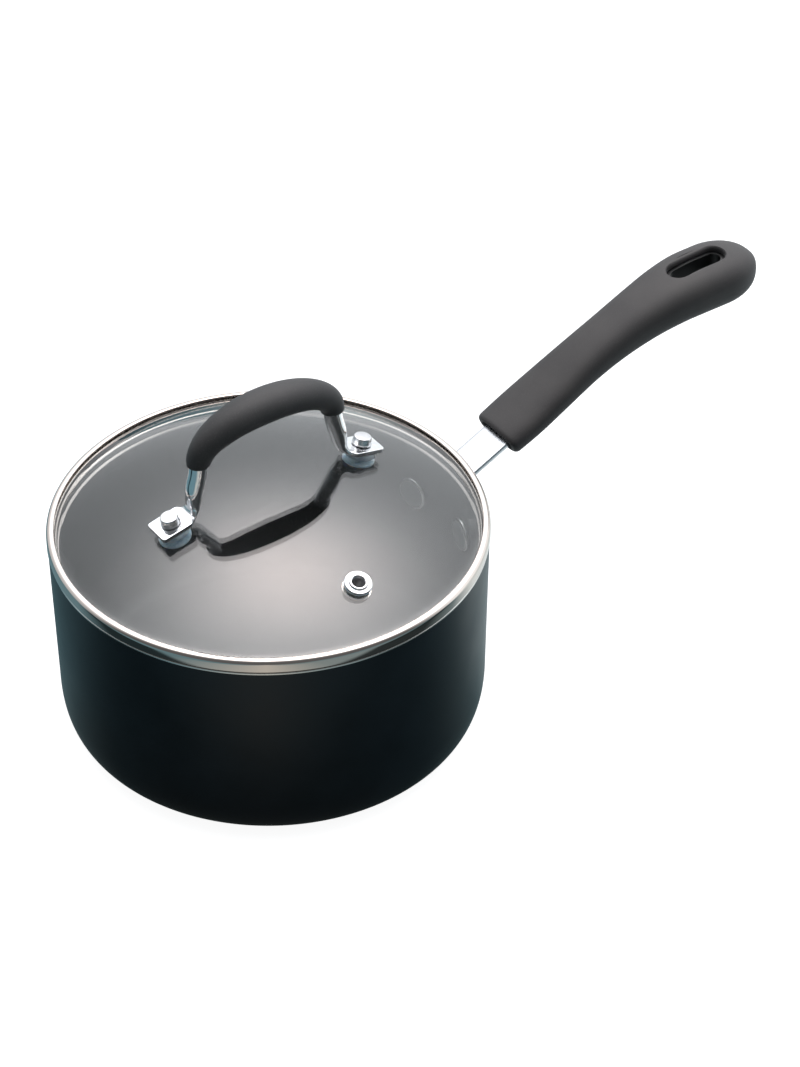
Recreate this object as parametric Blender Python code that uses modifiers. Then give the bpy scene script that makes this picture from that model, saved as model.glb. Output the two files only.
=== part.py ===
"""A two quart saucepan with a glass lid, in metres, +Z up.

The origin is the centre of the pan's flat base and the handle points along +X. The pan and what is riveted
to it stand on the base. The lid sits in the rim and lifts straight up.
"""

import math

import bmesh
import bpy
from mathutils import Vector

# Clearance between two pieces that touch
GAP = 0.0003

# Pan body, a drawn aluminium shell
RIM_RADIUS = 0.0877
PAN_HEIGHT = 0.0865
PAN_WALL = 0.0026
BASE_THICKNESS = 0.0036
WALL_TAPER = math.radians(0.8)
CORNER_WIDTH = 0.0145
CORNER_HEIGHT = 0.024
CORNER_POWER = 2.9
LIP_BEVEL = 0.0003

# Lid rim, a rolled steel band that grips the edge of the glass
BAND_OVERHANG = 0.0003
BAND_SHEET = 0.0006
BEAD_RISE = 0.0012
LIP_WIDTH = 0.0029
LIP_RISE = 0.0002
SEAT_BEND = 0.0004
FLANGE_BEND = 0.0005
FLANGE_DROP = 0.0058
FLANGE_CLEARANCE = 0.0009

# Lid glass, a shallow dome with a flatter edge
GLASS_RADIUS_OF_CURVE = 0.197
GLASS_THICKNESS = 0.0032
GLASS_EDGE_WIDTH = 0.005
GLASS_EDGE_SLOPE = math.radians(5)
GLASS_EDGE_CLEARANCE = 0.0004

# Riveted stacks that hold the lid handle on the glass
FOOT_RADIUS = 0.0436
FOOT_GASKET_RADIUS = 0.0065
FOOT_GASKET_HEIGHT = 0.0024
UNDER_GASKET_HEIGHT = 0.0010
WASHER_RADIUS = 0.0055
WASHER_HEIGHT = 0.0008
LID_RIVET_SHANK = 0.0020
LID_RIVET_HEAD = 0.0040
LID_RIVET_HEAD_HEIGHT = 0.0034
LID_RIVET_TAIL = 0.0037
LID_RIVET_TAIL_HEIGHT = 0.0013
LID_RIVET_EDGE = 0.0004

# Lid handle, a steel tube with its ends pressed flat, inside a soft sleeve
TAB_LENGTH = 0.0145
TAB_WIDTH = 0.0125
TAB_THICKNESS = 0.0019
TAB_POWER = 20.0
TUBE_RADIUS = 0.00375
LEG_INSET = 0.0126
LEG_SPREAD = FOOT_RADIUS - LEG_INSET
LEG_LEAN = 0.0030
LEG_HEIGHT = 0.0222
KNEE_REACH = 0.0030
KNEE_RISE = 0.0022
ARCH_HEIGHT = 0.0377
ARCH_POWER = 2.1
SLEEVE_BORE_CLEARANCE = 0.0003
SLEEVE_END_WALL = (0.00065, 0.00085)
SLEEVE_MIDDLE_WALL = (0.00425, 0.00255)
SLEEVE_SWELL = (0.85, 0.5)

# Steam vent, an eyelet pressed through the glass
VENT_INSET = 0.0252
VENT_RADIUS = RIM_RADIUS - VENT_INSET
VENT_BORE = 0.0023
VENT_BARREL = 0.0037
VENT_FLANGE = 0.0054
VENT_FLANGE_THICKNESS = 0.0006
VENT_LIP_HEIGHT = 0.0007
VENT_LIP_FOOT = 0.0004
VENT_GASKET_HEIGHT = 0.0005
VENT_GASKET_MARGIN = 0.0002
VENT_WASHER_RADIUS = 0.0058

# Pan handle: steel bracket, hard core and soft grip
BRACKET_SHEET = 0.0025
BRACKET_PLATE_WIDTH = 0.052
BRACKET_PLATE_HEIGHT = 0.024
BRACKET_PLATE_CORNER = 0.007
STRAP_WIDTH = 0.0155
STRAP_BEND = 0.0075
STRAP_DROP = 0.0006
TANG_LENGTH = 0.034
TANG_SHOULDER = 0.0020
TANG_WIDTH = STRAP_WIDTH - 2 * TANG_SHOULDER
PAN_RIVET_DROP = 0.029
PAN_RIVET_HEIGHT = PAN_HEIGHT - PAN_RIVET_DROP
PAN_RIVET_ANGLE = math.radians(11.8)
PAN_RIVET_SHANK = 0.0027
PAN_RIVET_HEAD = 0.0072
PAN_RIVET_HEAD_HEIGHT = 0.0017
PAN_RIVET_TAIL = 0.0055
PAN_RIVET_TAIL_HEIGHT = 0.0020
PAN_RIVET_EDGE = 0.0004
GRIP_REACH = 0.0243
GRIP_START = RIM_RADIUS + GRIP_REACH
GRIP_COVER_SIDE = 0.0036
GRIP_COVER_TOP = 0.0024
GRIP_NOSE = 0.0015
GRIP_TIP = 0.0212
GRIP_POWER = 2.6
CORE_RECESS = 0.005
SLOT_LENGTH = 0.0285
SLOT_WIDTH = 0.0100
SLOT_LEDGE = 0.0017

SLOT_CENTRE = 0.1025

# Stations along the grip: distance behind its front, height above the pan's rim, and how far the
# grip's side and top stand outside the strap's side and top
GRIP_STATIONS = (
    (0.000, -0.0009, 0.00525, 0.00465),
    (0.013, 0.0052, 0.00555, 0.00485),
    (0.028, 0.0126, 0.00485, 0.00535),
    (0.043, 0.0198, 0.00395, 0.00605),
    (0.058, 0.0258, 0.00395, 0.00675),
    (0.073, 0.0308, 0.00495, 0.00765),
    (0.087, 0.0343, 0.00655, 0.00855),
    (0.099, 0.0359, 0.00765, 0.00925),
    (0.111, 0.0362, 0.00785, 0.00935),
)

# Smoothness
ROUND_STEPS = 48
SMALL_STEPS = 20
SECTION_POINTS = 16
GRIP_SPACING = 0.007
SLOPE_STEP = 0.0005
BEAD_STEPS = 3
PIECES_SMOOTH_ANGLE = math.radians(35)

COLLECTION = "saucepan"
CUTTERS = "cutters"


# ---------------------------------------------------------------- tools

def clear_scene():
    for obj in list(bpy.data.objects):
        bpy.data.objects.remove(obj, do_unlink=True)


def new_collection(name):
    collection = bpy.data.collections.new(name)
    bpy.context.scene.collection.children.link(collection)
    return collection


def principled(name, colour, roughness, metallic=0.0, alpha=1.0):
    material = bpy.data.materials.new(name)
    material.use_nodes = True
    shader = material.node_tree.nodes["Principled BSDF"]
    shader.inputs["Base Color"].default_value = (*colour, 1.0)
    shader.inputs["Roughness"].default_value = roughness
    shader.inputs["Metallic"].default_value = metallic
    shader.inputs["Alpha"].default_value = alpha
    return material


def add_object(name, mesh, material=None, location=(0, 0, 0), rotation=(0, 0, 0)):
    obj = bpy.data.objects.new(name, mesh)
    obj.location = location
    obj.rotation_euler = rotation
    if material is None:
        obj.hide_render = True
        obj.display_type = "WIRE"
        bpy.data.collections[CUTTERS].objects.link(obj)
    else:
        mesh.materials.append(material)
        mesh.shade_smooth()
        mesh.set_sharp_from_angle(angle=PIECES_SMOOTH_ANGLE)
        bpy.data.collections[COLLECTION].objects.link(obj)
    return obj


def profile_mesh(name, points, closed=False):
    """The outline of a turned piece as (radius, height) points, in the XZ plane."""
    shape = bmesh.new()
    corners = [shape.verts.new((radius, 0, height)) for radius, height in points]
    for start, end in zip(corners, corners[1:]):
        shape.edges.new((start, end))
    if closed:
        shape.edges.new((corners[-1], corners[0]))
    mesh = bpy.data.meshes.new(name)
    shape.to_mesh(mesh)
    shape.free()
    return mesh


def turn(obj, steps):
    screw = obj.modifiers.new("turn", "SCREW")
    screw.angle = 2 * math.pi
    screw.steps = steps
    screw.render_steps = steps
    screw.use_merge_vertices = True
    screw.merge_threshold = 0.00001
    screw.use_smooth_shade = True
    return obj


def turned(name, points, material, closed=False, steps=SMALL_STEPS, **place):
    return turn(add_object(name, profile_mesh(name, points, closed), material, **place), steps)


def ring_profile(inner, outer, bottom, top):
    """A flat ring's section, running down its outer side."""
    return ((outer, top), (outer, bottom), (inner, bottom), (inner, top))


def cut(obj, cutter):
    boolean = obj.modifiers.new("cut " + cutter.name, "BOOLEAN")
    boolean.operation = "DIFFERENCE"
    boolean.object = cutter
    boolean.solver = "EXACT"


def join(obj, other):
    boolean = obj.modifiers.new("join " + other.name, "BOOLEAN")
    boolean.operation = "UNION"
    boolean.object = other
    boolean.solver = "EXACT"


def cylinder_cutter(name, radius, depth, **place):
    shape = bmesh.new()
    bmesh.ops.create_cone(
        shape, cap_ends=True, segments=SMALL_STEPS, radius1=radius, radius2=radius, depth=depth
    )
    mesh = bpy.data.meshes.new(name)
    shape.to_mesh(mesh)
    shape.free()
    return add_object(name, mesh, **place)


def signed_power(value, power):
    return math.copysign(abs(value) ** power, value)


def oval(centre, tilt, half_width, half_height, power=2.0, points=SECTION_POINTS):
    """A ring of points across a path in the XZ plane: a superellipse, rounder as its power nears 2."""
    across = Vector((0, 1, 0))
    up = Vector((-math.sin(tilt), 0, math.cos(tilt)))
    ring = []
    for step in range(points):
        angle = 2 * math.pi * (step + 0.5) / points
        width = half_width * signed_power(math.cos(angle), 2 / power)
        height = half_height * signed_power(math.sin(angle), 2 / power)
        ring.append(Vector((centre[0], 0, centre[1])) + across * width + up * height)
    return ring


def loft(name, rings, material=None, **place):
    """A closed skin through unlike sections with the same number of points, capped at both ends."""
    shape = bmesh.new()
    rows = [[shape.verts.new(point) for point in ring] for ring in rings]
    for low, high in zip(rows, rows[1:]):
        for side in range(len(low)):
            after = (side + 1) % len(low)
            shape.faces.new((low[side], low[after], high[after], high[side]))
    shape.faces.new(rows[0])
    shape.faces.new(rows[-1])
    bmesh.ops.recalc_face_normals(shape, faces=shape.faces)
    mesh = bpy.data.meshes.new(name)
    shape.to_mesh(mesh)
    shape.free()
    return add_object(name, mesh, material, **place)


def rounded_outline(half_length, half_width, radius, points=6):
    """A rectangle with round corners, anticlockwise, in its own plane."""
    corners = (
        (half_length - radius, half_width - radius, 0.0),
        (radius - half_length, half_width - radius, 0.25),
        (radius - half_length, radius - half_width, 0.5),
        (half_length - radius, radius - half_width, 0.75),
    )
    outline = []
    for x, y, turned_by in corners:
        for step in range(points + 1):
            angle = 2 * math.pi * (turned_by + 0.25 * step / points)
            outline.append((x + radius * math.cos(angle), y + radius * math.sin(angle)))
    return outline


def prism(name, outline, depth, **place):
    """A cutter with this outline, along its own Z and centred on it."""
    shape = bmesh.new()
    face = shape.faces.new([shape.verts.new((x, y, -depth / 2)) for x, y in outline])
    raised = bmesh.ops.extrude_face_region(shape, geom=[face])
    moved = [item for item in raised["geom"] if isinstance(item, bmesh.types.BMVert)]
    bmesh.ops.translate(shape, verts=moved, vec=(0, 0, depth))
    bmesh.ops.remove_doubles(shape, verts=shape.verts, dist=0.000001)
    bmesh.ops.recalc_face_normals(shape, faces=shape.faces)
    mesh = bpy.data.meshes.new(name)
    shape.to_mesh(mesh)
    shape.free()
    return add_object(name, mesh, **place)


def between(stations, distance):
    """The stations' values at this distance, on a smooth curve through them."""
    last = len(stations) - 1
    index = 0
    while index < last - 1 and distance > stations[index + 1][0]:
        index += 1
    start, end = stations[index], stations[index + 1]
    before = stations[max(index - 1, 0)]
    after = stations[min(index + 2, last)]
    span = end[0] - start[0]
    part = (distance - start[0]) / span
    values = []
    for item in range(1, len(start)):
        leave = (end[item] - before[item]) / (end[0] - before[0]) * span
        arrive = (after[item] - start[item]) / (after[0] - start[0]) * span
        values.append(
            (2 * part**3 - 3 * part**2 + 1) * start[item]
            + (part**3 - 2 * part**2 + part) * leave
            + (3 * part**2 - 2 * part**3) * end[item]
            + (part**3 - part**2) * arrive
        )
    return values


# ---------------------------------------------------------------- pan

def wall_radius(height):
    """The outer radius of the pan's wall at this height."""
    return RIM_RADIUS - (PAN_HEIGHT - height) * math.tan(WALL_TAPER)


def pan_corner(flat_radius, width, floor, height, steps=8):
    """The curve from the flat base up to the wall."""
    curve = []
    for step in range(steps + 1):
        angle = math.pi / 2 * step / steps
        outward = width * math.sin(angle) ** (2 / CORNER_POWER)
        upward = height * (1 - math.cos(angle) ** (2 / CORNER_POWER))
        curve.append((flat_radius + outward, floor + upward))
    return curve


def build_pan_body(coating):
    flat_radius = wall_radius(CORNER_HEIGHT) - CORNER_WIDTH
    inner_corner = pan_corner(
        flat_radius, CORNER_WIDTH - PAN_WALL, BASE_THICKNESS, CORNER_HEIGHT - BASE_THICKNESS
    )
    outer_corner = pan_corner(flat_radius, CORNER_WIDTH, 0, CORNER_HEIGHT)
    inner_rim = RIM_RADIUS - PAN_WALL
    points = [(0, BASE_THICKNESS)]
    points += inner_corner
    points += [(inner_rim, PAN_HEIGHT - LIP_BEVEL), (inner_rim + LIP_BEVEL, PAN_HEIGHT)]
    points += [(RIM_RADIUS - LIP_BEVEL, PAN_HEIGHT), (RIM_RADIUS, PAN_HEIGHT - LIP_BEVEL)]
    points += reversed(outer_corner)
    points += [(0, 0)]
    pan = turned("pan_body", points, coating, steps=ROUND_STEPS)
    for side, angle in (("left", PAN_RIVET_ANGLE), ("right", -PAN_RIVET_ANGLE)):
        cut(pan, cylinder_cutter(
            f"pan_rivet_hole_{side}",
            PAN_RIVET_SHANK + GAP,
            8 * PAN_WALL,
            location=radial_point(RIM_RADIUS - PAN_WALL / 2, angle, PAN_RIVET_HEIGHT),
            rotation=(0, math.pi / 2, angle),
        ))


def radial_point(radius, angle, height):
    return (radius * math.cos(angle), radius * math.sin(angle), height)


def build_pan_rivets(steel):
    """Each rivet's own Z points out of the pan, from the inner face of the wall."""
    seat = PAN_RIVET_HEAD**2 / (2 * (RIM_RADIUS - PAN_WALL)) + GAP
    grip_length = PAN_WALL + GAP + BRACKET_SHEET + GAP
    head_bottom = -seat - PAN_RIVET_HEAD_HEIGHT
    tail_top = grip_length + PAN_RIVET_TAIL_HEIGHT
    points = (
        (0, tail_top),
        (0.55 * PAN_RIVET_TAIL, tail_top - 0.10 * PAN_RIVET_TAIL_HEIGHT),
        (0.88 * PAN_RIVET_TAIL, tail_top - 0.45 * PAN_RIVET_TAIL_HEIGHT),
        (PAN_RIVET_TAIL, grip_length + PAN_RIVET_EDGE),
        (PAN_RIVET_TAIL, grip_length),
        (PAN_RIVET_SHANK, grip_length),
        (PAN_RIVET_SHANK, -seat),
        (PAN_RIVET_HEAD, -seat),
        (PAN_RIVET_HEAD, -seat - PAN_RIVET_EDGE),
        (0.93 * PAN_RIVET_HEAD, head_bottom + PAN_RIVET_EDGE),
        (0.80 * PAN_RIVET_HEAD, head_bottom),
        (0, head_bottom),
    )
    inner_radius = wall_radius(PAN_RIVET_HEIGHT) - PAN_WALL
    for side, angle in (("left", PAN_RIVET_ANGLE), ("right", -PAN_RIVET_ANGLE)):
        turned(
            f"pan_rivet_{side}",
            points,
            steel,
            location=radial_point(inner_radius, angle, PAN_RIVET_HEIGHT),
            rotation=(0, math.pi / 2, angle),
        )


# ---------------------------------------------------------------- pan handle

def grip_station(distance):
    """Centre (x, z), slope, half width and half thickness of the grip, this far behind its front."""
    height, side, top = between(GRIP_STATIONS, distance)
    ahead = between(GRIP_STATIONS, distance + SLOPE_STEP)[0]
    behind = between(GRIP_STATIONS, distance - SLOPE_STEP)[0]
    slope = math.atan2(ahead - behind, 2 * SLOPE_STEP)
    centre = (GRIP_START + distance, PAN_HEIGHT + height)
    return centre, slope, STRAP_WIDTH / 2 + side, BRACKET_SHEET / 2 + top


def grip_rings(side_inset, top_inset, start, tip_inset, nose):
    """Sections of the grip, or of what fits inside it when the insets are above zero."""
    body_end = GRIP_STATIONS[-1][0]
    rings = []
    for inset, along in ((nose, 0.0), (0.3 * nose, 0.35 * nose)) if nose else ():
        centre, slope, half_width, half_height = grip_station(start)
        moved = (centre[0] + along * math.cos(slope), centre[1] + along * math.sin(slope))
        rings.append(oval(moved, slope, half_width - inset, half_height - inset, GRIP_POWER))
    first = start + nose
    count = max(2, round((body_end - first) / GRIP_SPACING))
    for step in range(count + 1):
        centre, slope, half_width, half_height = grip_station(
            first + (body_end - first) * step / count
        )
        rings.append(
            oval(centre, slope, half_width - side_inset, half_height - top_inset, GRIP_POWER)
        )
    centre, slope, half_width, half_height = grip_station(body_end)
    reach = GRIP_TIP - tip_inset
    for angle in (25, 45, 62, 76, 86):
        turn_by = math.radians(angle)
        along = reach * math.sin(turn_by)
        moved = (centre[0] + along * math.cos(slope), centre[1] + along * math.sin(slope))
        rings.append(
            oval(
                moved,
                slope,
                (half_width - side_inset) * math.cos(turn_by),
                (half_height - top_inset) * math.cos(turn_by) ** 0.8,
                GRIP_POWER,
            )
        )
    return rings


def build_bracket(steel):
    """A curved plate on the pan's wall and a strap that bends out of it into the grip."""
    low = PAN_RIVET_HEIGHT - BRACKET_PLATE_HEIGHT
    high = PAN_RIVET_HEIGHT + BRACKET_PLATE_HEIGHT
    shell = turned(
        "handle_bracket",
        (
            (wall_radius(high) + GAP + BRACKET_SHEET, high),
            (wall_radius(low) + GAP + BRACKET_SHEET, low),
            (wall_radius(low) + GAP, low),
            (wall_radius(high) + GAP, high),
        ),
        steel,
        closed=True,
        steps=ROUND_STEPS,
    )
    outline = rounded_outline(
        BRACKET_PLATE_HEIGHT / 2, BRACKET_PLATE_WIDTH / 2, BRACKET_PLATE_CORNER
    )
    plate = shell.modifiers.new("trim to plate", "BOOLEAN")
    plate.operation = "INTERSECT"
    plate.solver = "EXACT"
    plate.object = prism(
        "bracket_plate_outline",
        outline,
        RIM_RADIUS,
        location=(RIM_RADIUS, 0, PAN_RIVET_HEIGHT),
        rotation=(0, math.pi / 2, 0),
    )
    face = wall_radius(PAN_RIVET_HEIGHT) + GAP + BRACKET_SHEET / 2 + WALL_TAPER * BRACKET_PLATE_HEIGHT
    front, slope, _, _ = grip_station(0)
    front_height = front[1] - STRAP_DROP
    corner_height = front_height - (GRIP_START - face) * math.tan(slope)
    bend_start = (face, corner_height - STRAP_BEND)
    bend_end = (
        face + STRAP_BEND * math.cos(slope),
        corner_height + STRAP_BEND * math.sin(slope),
    )
    half_width = STRAP_WIDTH / 2
    path = [(face, PAN_RIVET_HEIGHT, half_width), (*bend_start, half_width)]
    for step in range(1, 6):
        part = step / 6
        path.append((
            (1 - part) ** 2 * bend_start[0] + 2 * part * (1 - part) * face + part**2 * bend_end[0],
            (1 - part) ** 2 * bend_start[1]
            + 2 * part * (1 - part) * corner_height
            + part**2 * bend_end[1],
            half_width,
        ))
    path += [(*bend_end, half_width), (GRIP_START, front_height, half_width)]
    for step in range(1, 5):
        centre, _, _, _ = grip_station(TANG_LENGTH * step / 4)
        path.append((centre[0], centre[1] - STRAP_DROP, TANG_WIDTH / 2 if step > 1 else half_width))
    strap = loft("bracket_strap", strip_rings(path, BRACKET_SHEET / 2))
    join(shell, strap)
    for side, angle in (("left", PAN_RIVET_ANGLE), ("right", -PAN_RIVET_ANGLE)):
        cut(shell, cylinder_cutter(
            f"bracket_rivet_hole_{side}",
            PAN_RIVET_SHANK + GAP,
            8 * BRACKET_SHEET,
            location=radial_point(RIM_RADIUS + BRACKET_SHEET, angle, PAN_RIVET_HEIGHT),
            rotation=(0, math.pi / 2, angle),
        ))
    return path


def strip_rings(path, half_height):
    """Rectangular sections along a path of (x, z, half width) in the XZ plane."""
    rings = []
    for index, (x, z, half_width) in enumerate(path):
        before = path[max(index - 1, 0)]
        after = path[min(index + 1, len(path) - 1)]
        slope = math.atan2(after[1] - before[1], after[0] - before[0])
        up = Vector((-math.sin(slope), 0, math.cos(slope))) * half_height
        across = Vector((0, half_width, 0))
        centre = Vector((x, 0, z))
        rings.append([centre + across + up, centre - across + up, centre - across - up, centre + across - up])
    return rings


def build_handle(strap_path, hard_plastic, soft_plastic):
    """A hard core on the strap's tang, and a soft grip moulded over it."""
    grip = loft("handle_grip", grip_rings(0, 0, 0, 0, GRIP_NOSE), soft_plastic)
    core = loft(
        "handle_core",
        grip_rings(
            GRIP_COVER_SIDE + GAP, GRIP_COVER_TOP + GAP, CORE_RECESS, GRIP_COVER_SIDE + GAP, 0
        ),
        hard_plastic,
    )
    cavity = loft(
        "grip_cavity",
        grip_rings(GRIP_COVER_SIDE, GRIP_COVER_TOP, -CORE_RECESS, GRIP_COVER_SIDE, 0),
    )
    cut(grip, cavity)
    tang_end = strap_path[-1]
    before_end = strap_path[-2]
    length = math.dist(before_end[:2], tang_end[:2])
    clear_end = tuple(
        end + (end - before) * GAP / length for end, before in zip(tang_end, before_end)
    )
    tang_path = [point for point in strap_path[:-1] if point[0] > RIM_RADIUS + STRAP_BEND]
    pocket_path = [(x, z, half_width + GAP) for x, z, half_width in tang_path + [clear_end]]
    pocket = loft("core_pocket", strip_rings(pocket_path, BRACKET_SHEET / 2 + GAP))
    cut(core, pocket)
    centre, slope, _, half_height = grip_station(SLOT_CENTRE)
    for obj, ledge in ((grip, 0), (core, SLOT_LEDGE)):
        outline = rounded_outline(
            SLOT_LENGTH / 2 - ledge, SLOT_WIDTH / 2 - ledge, SLOT_WIDTH / 2 - ledge
        )
        cut(obj, prism(
            obj.name + "_slot",
            outline,
            4 * half_height,
            location=(centre[0], 0, centre[1]),
            rotation=(0, -slope, 0),
        ))


# ---------------------------------------------------------------- lid

BAND_RADIUS = RIM_RADIUS + BAND_OVERHANG
BAND_BOTTOM = PAN_HEIGHT + GAP
BAND_TOP = BAND_BOTTOM + BAND_SHEET + GAP + GLASS_THICKNESS
GLASS_OUTER = BAND_RADIUS - BAND_SHEET - GLASS_EDGE_CLEARANCE
GLASS_BEND = GLASS_OUTER - GLASS_EDGE_WIDTH
GLASS_EDGE_BOTTOM = BAND_BOTTOM + BAND_SHEET + GAP


def glass_slope(radius):
    """The angle of the glass below level, at this distance from its centre."""
    if radius <= GLASS_BEND:
        return math.asin(radius / GLASS_RADIUS_OF_CURVE)
    part = (radius - GLASS_BEND) / GLASS_EDGE_WIDTH
    return (1 - part) * math.asin(GLASS_BEND / GLASS_RADIUS_OF_CURVE) + part * GLASS_EDGE_SLOPE


def glass_drop(radius):
    """How far the top of the glass lies below its highest point, at this distance from its centre."""
    spherical = min(radius, GLASS_BEND)
    drop = GLASS_RADIUS_OF_CURVE - math.sqrt(GLASS_RADIUS_OF_CURVE**2 - spherical**2)
    steps = 8
    for step in range(steps):
        at = GLASS_BEND + (step + 0.5) / steps * (radius - GLASS_BEND)
        drop += math.tan(glass_slope(at)) * max(radius - GLASS_BEND, 0) / steps
    return drop


GLASS_TOP = GLASS_EDGE_BOTTOM + GLASS_THICKNESS / math.cos(GLASS_EDGE_SLOPE) + glass_drop(GLASS_OUTER)


def glass_height(radius):
    return GLASS_TOP - glass_drop(radius)


def on_glass(radius, angle):
    """Location and rotation of a piece whose own Z leaves the glass squarely."""
    return {
        "location": radial_point(radius, angle, glass_height(radius)),
        "rotation": (0, glass_slope(radius), angle),
    }


FEET = (("right", 0.0), ("left", math.pi))
VENT_ANGLE = -math.pi / 2

GASKET_TOP = GAP + FOOT_GASKET_HEIGHT
TAB_BOTTOM = GASKET_TOP + GAP
TAB_TOP = TAB_BOTTOM + TAB_THICKNESS
UNDER_GASKET_TOP = -GLASS_THICKNESS - GAP
UNDER_GASKET_BOTTOM = UNDER_GASKET_TOP - UNDER_GASKET_HEIGHT
WASHER_TOP = UNDER_GASKET_BOTTOM - GAP
WASHER_BOTTOM = WASHER_TOP - WASHER_HEIGHT


def build_glass(glass):
    flat_steps = 8
    edge_steps = 3
    radii = [GLASS_BEND * step / flat_steps for step in range(flat_steps + 1)]
    radii += [GLASS_BEND + GLASS_EDGE_WIDTH * step / edge_steps for step in range(1, edge_steps + 1)]
    points = [(radius, glass_height(radius)) for radius in radii]
    lid = turned("lid_glass", points, glass, steps=ROUND_STEPS)
    wall = lid.modifiers.new("thickness", "SOLIDIFY")
    wall.thickness = GLASS_THICKNESS
    wall.offset = -1
    wall.use_even_offset = True
    for side, angle in FEET:
        cut(lid, cylinder_cutter(
            f"glass_rivet_hole_{side}",
            LID_RIVET_SHANK + GAP,
            6 * GLASS_THICKNESS,
            **on_glass(FOOT_RADIUS, angle),
        ))
    cut(lid, cylinder_cutter(
        "glass_vent_hole",
        VENT_BARREL + GAP,
        6 * GLASS_THICKNESS,
        **on_glass(VENT_RADIUS, VENT_ANGLE),
    ))


def build_rim(steel):
    """A sheet steel band: lip over the glass, skirt around it, seat on the pan and a flange inside the pan."""
    middle = BAND_RADIUS - BAND_SHEET / 2
    seat = BAND_BOTTOM + BAND_SHEET / 2
    flange = RIM_RADIUS - PAN_WALL - FLANGE_CLEARANCE - BAND_SHEET / 2
    lip_top = BAND_TOP + BEAD_RISE - BAND_SHEET / 2
    flange_end = BAND_BOTTOM - FLANGE_DROP
    points = [(BAND_RADIUS - LIP_WIDTH, lip_top + LIP_RISE)]
    for step in range(BEAD_STEPS + 1):
        angle = math.pi / 2 * (1 - step / BEAD_STEPS)
        points.append((
            middle - BEAD_RISE + BEAD_RISE * math.cos(angle),
            lip_top - BEAD_RISE + BEAD_RISE * math.sin(angle),
        ))
    points += [(middle, seat + SEAT_BEND), (middle - SEAT_BEND, seat)]
    points += [(flange + FLANGE_BEND, seat), (flange, seat - FLANGE_BEND)]
    points += [(flange, flange_end + FLANGE_BEND), (flange - FLANGE_BEND, flange_end)]
    rim = turned("lid_rim", points, steel, steps=ROUND_STEPS)
    sheet = rim.modifiers.new("sheet", "SOLIDIFY")
    sheet.thickness = BAND_SHEET
    sheet.offset = 0
    sheet.use_even_offset = True


def tube_path():
    """Stations of the lid handle's right half, from the pressed foot up the leg, and the leg's top."""
    slope = glass_slope(FOOT_RADIUS)
    lift = (TAB_BOTTOM + TAB_TOP) / 2
    foot = Vector((
        FOOT_RADIUS + lift * math.sin(slope),
        glass_height(FOOT_RADIUS) + lift * math.cos(slope),
    ))
    inward = Vector((-math.cos(slope), math.sin(slope)))
    tab_half = TAB_LENGTH / 2
    neck = foot + inward * (tab_half + 0.4 * KNEE_REACH) + Vector((0, 0.15 * KNEE_RISE))
    knee = foot + inward * (tab_half + KNEE_REACH) + Vector((0, KNEE_RISE))
    leg_top = glass_height(FOOT_RADIUS) + LEG_HEIGHT + TAB_TOP
    flat = (TAB_WIDTH / 2, TAB_THICKNESS / 2, TAB_POWER)
    stations = [
        (*(foot - inward * tab_half), *flat),
        (*(foot + inward * 0.93 * tab_half), *flat),
        (*(foot + inward * tab_half), 0.9 * TAB_WIDTH / 2, TAB_THICKNESS / 2, 10.0),
        (*neck, 1.12 * TUBE_RADIUS, 0.6 * TAB_THICKNESS, 4.0),
        (*knee, 0.95 * TUBE_RADIUS, 0.55 * TUBE_RADIUS, 2.4),
    ]
    for up, lean, depth in ((0.15, 1.0, 0.80), (0.36, 0.8, 0.97), (0.73, 0.3, 1.0)):
        height = knee[1] + up * (leg_top - knee[1])
        stations.append((LEG_SPREAD + lean * LEG_LEAN, height, TUBE_RADIUS, depth * TUBE_RADIUS, 2.0))
    return stations, leg_top


def arch_path(leg_top, steps=9):
    """The centre line of the arch's right half: a superellipse from the leg to the top."""
    top = glass_height(0) + ARCH_HEIGHT
    path = []
    for step in range(steps + 1):
        angle = math.pi / 2 * step / steps
        path.append((
            LEG_SPREAD * math.cos(angle) ** (2 / ARCH_POWER),
            leg_top + (top - leg_top) * math.sin(angle) ** (2 / ARCH_POWER),
        ))
    return path


def path_rings(stations, points=SECTION_POINTS):
    """Sections along stations of (x, z, half width, half height, power), square to the path."""
    rings = []
    for index, (x, z, half_width, half_height, power) in enumerate(stations):
        before = stations[max(index - 1, 0)]
        after = stations[min(index + 1, len(stations) - 1)]
        slope = math.atan2(after[1] - before[1], after[0] - before[0])
        rings.append(oval((x, z), slope, half_width, half_height, power, points))
    return rings


def mirrored(stations):
    """The stations with their mirror image before them, in order of travel."""
    left = [(-station[0], *station[1:]) for station in stations[:-1]]
    return left + stations[::-1]


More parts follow.
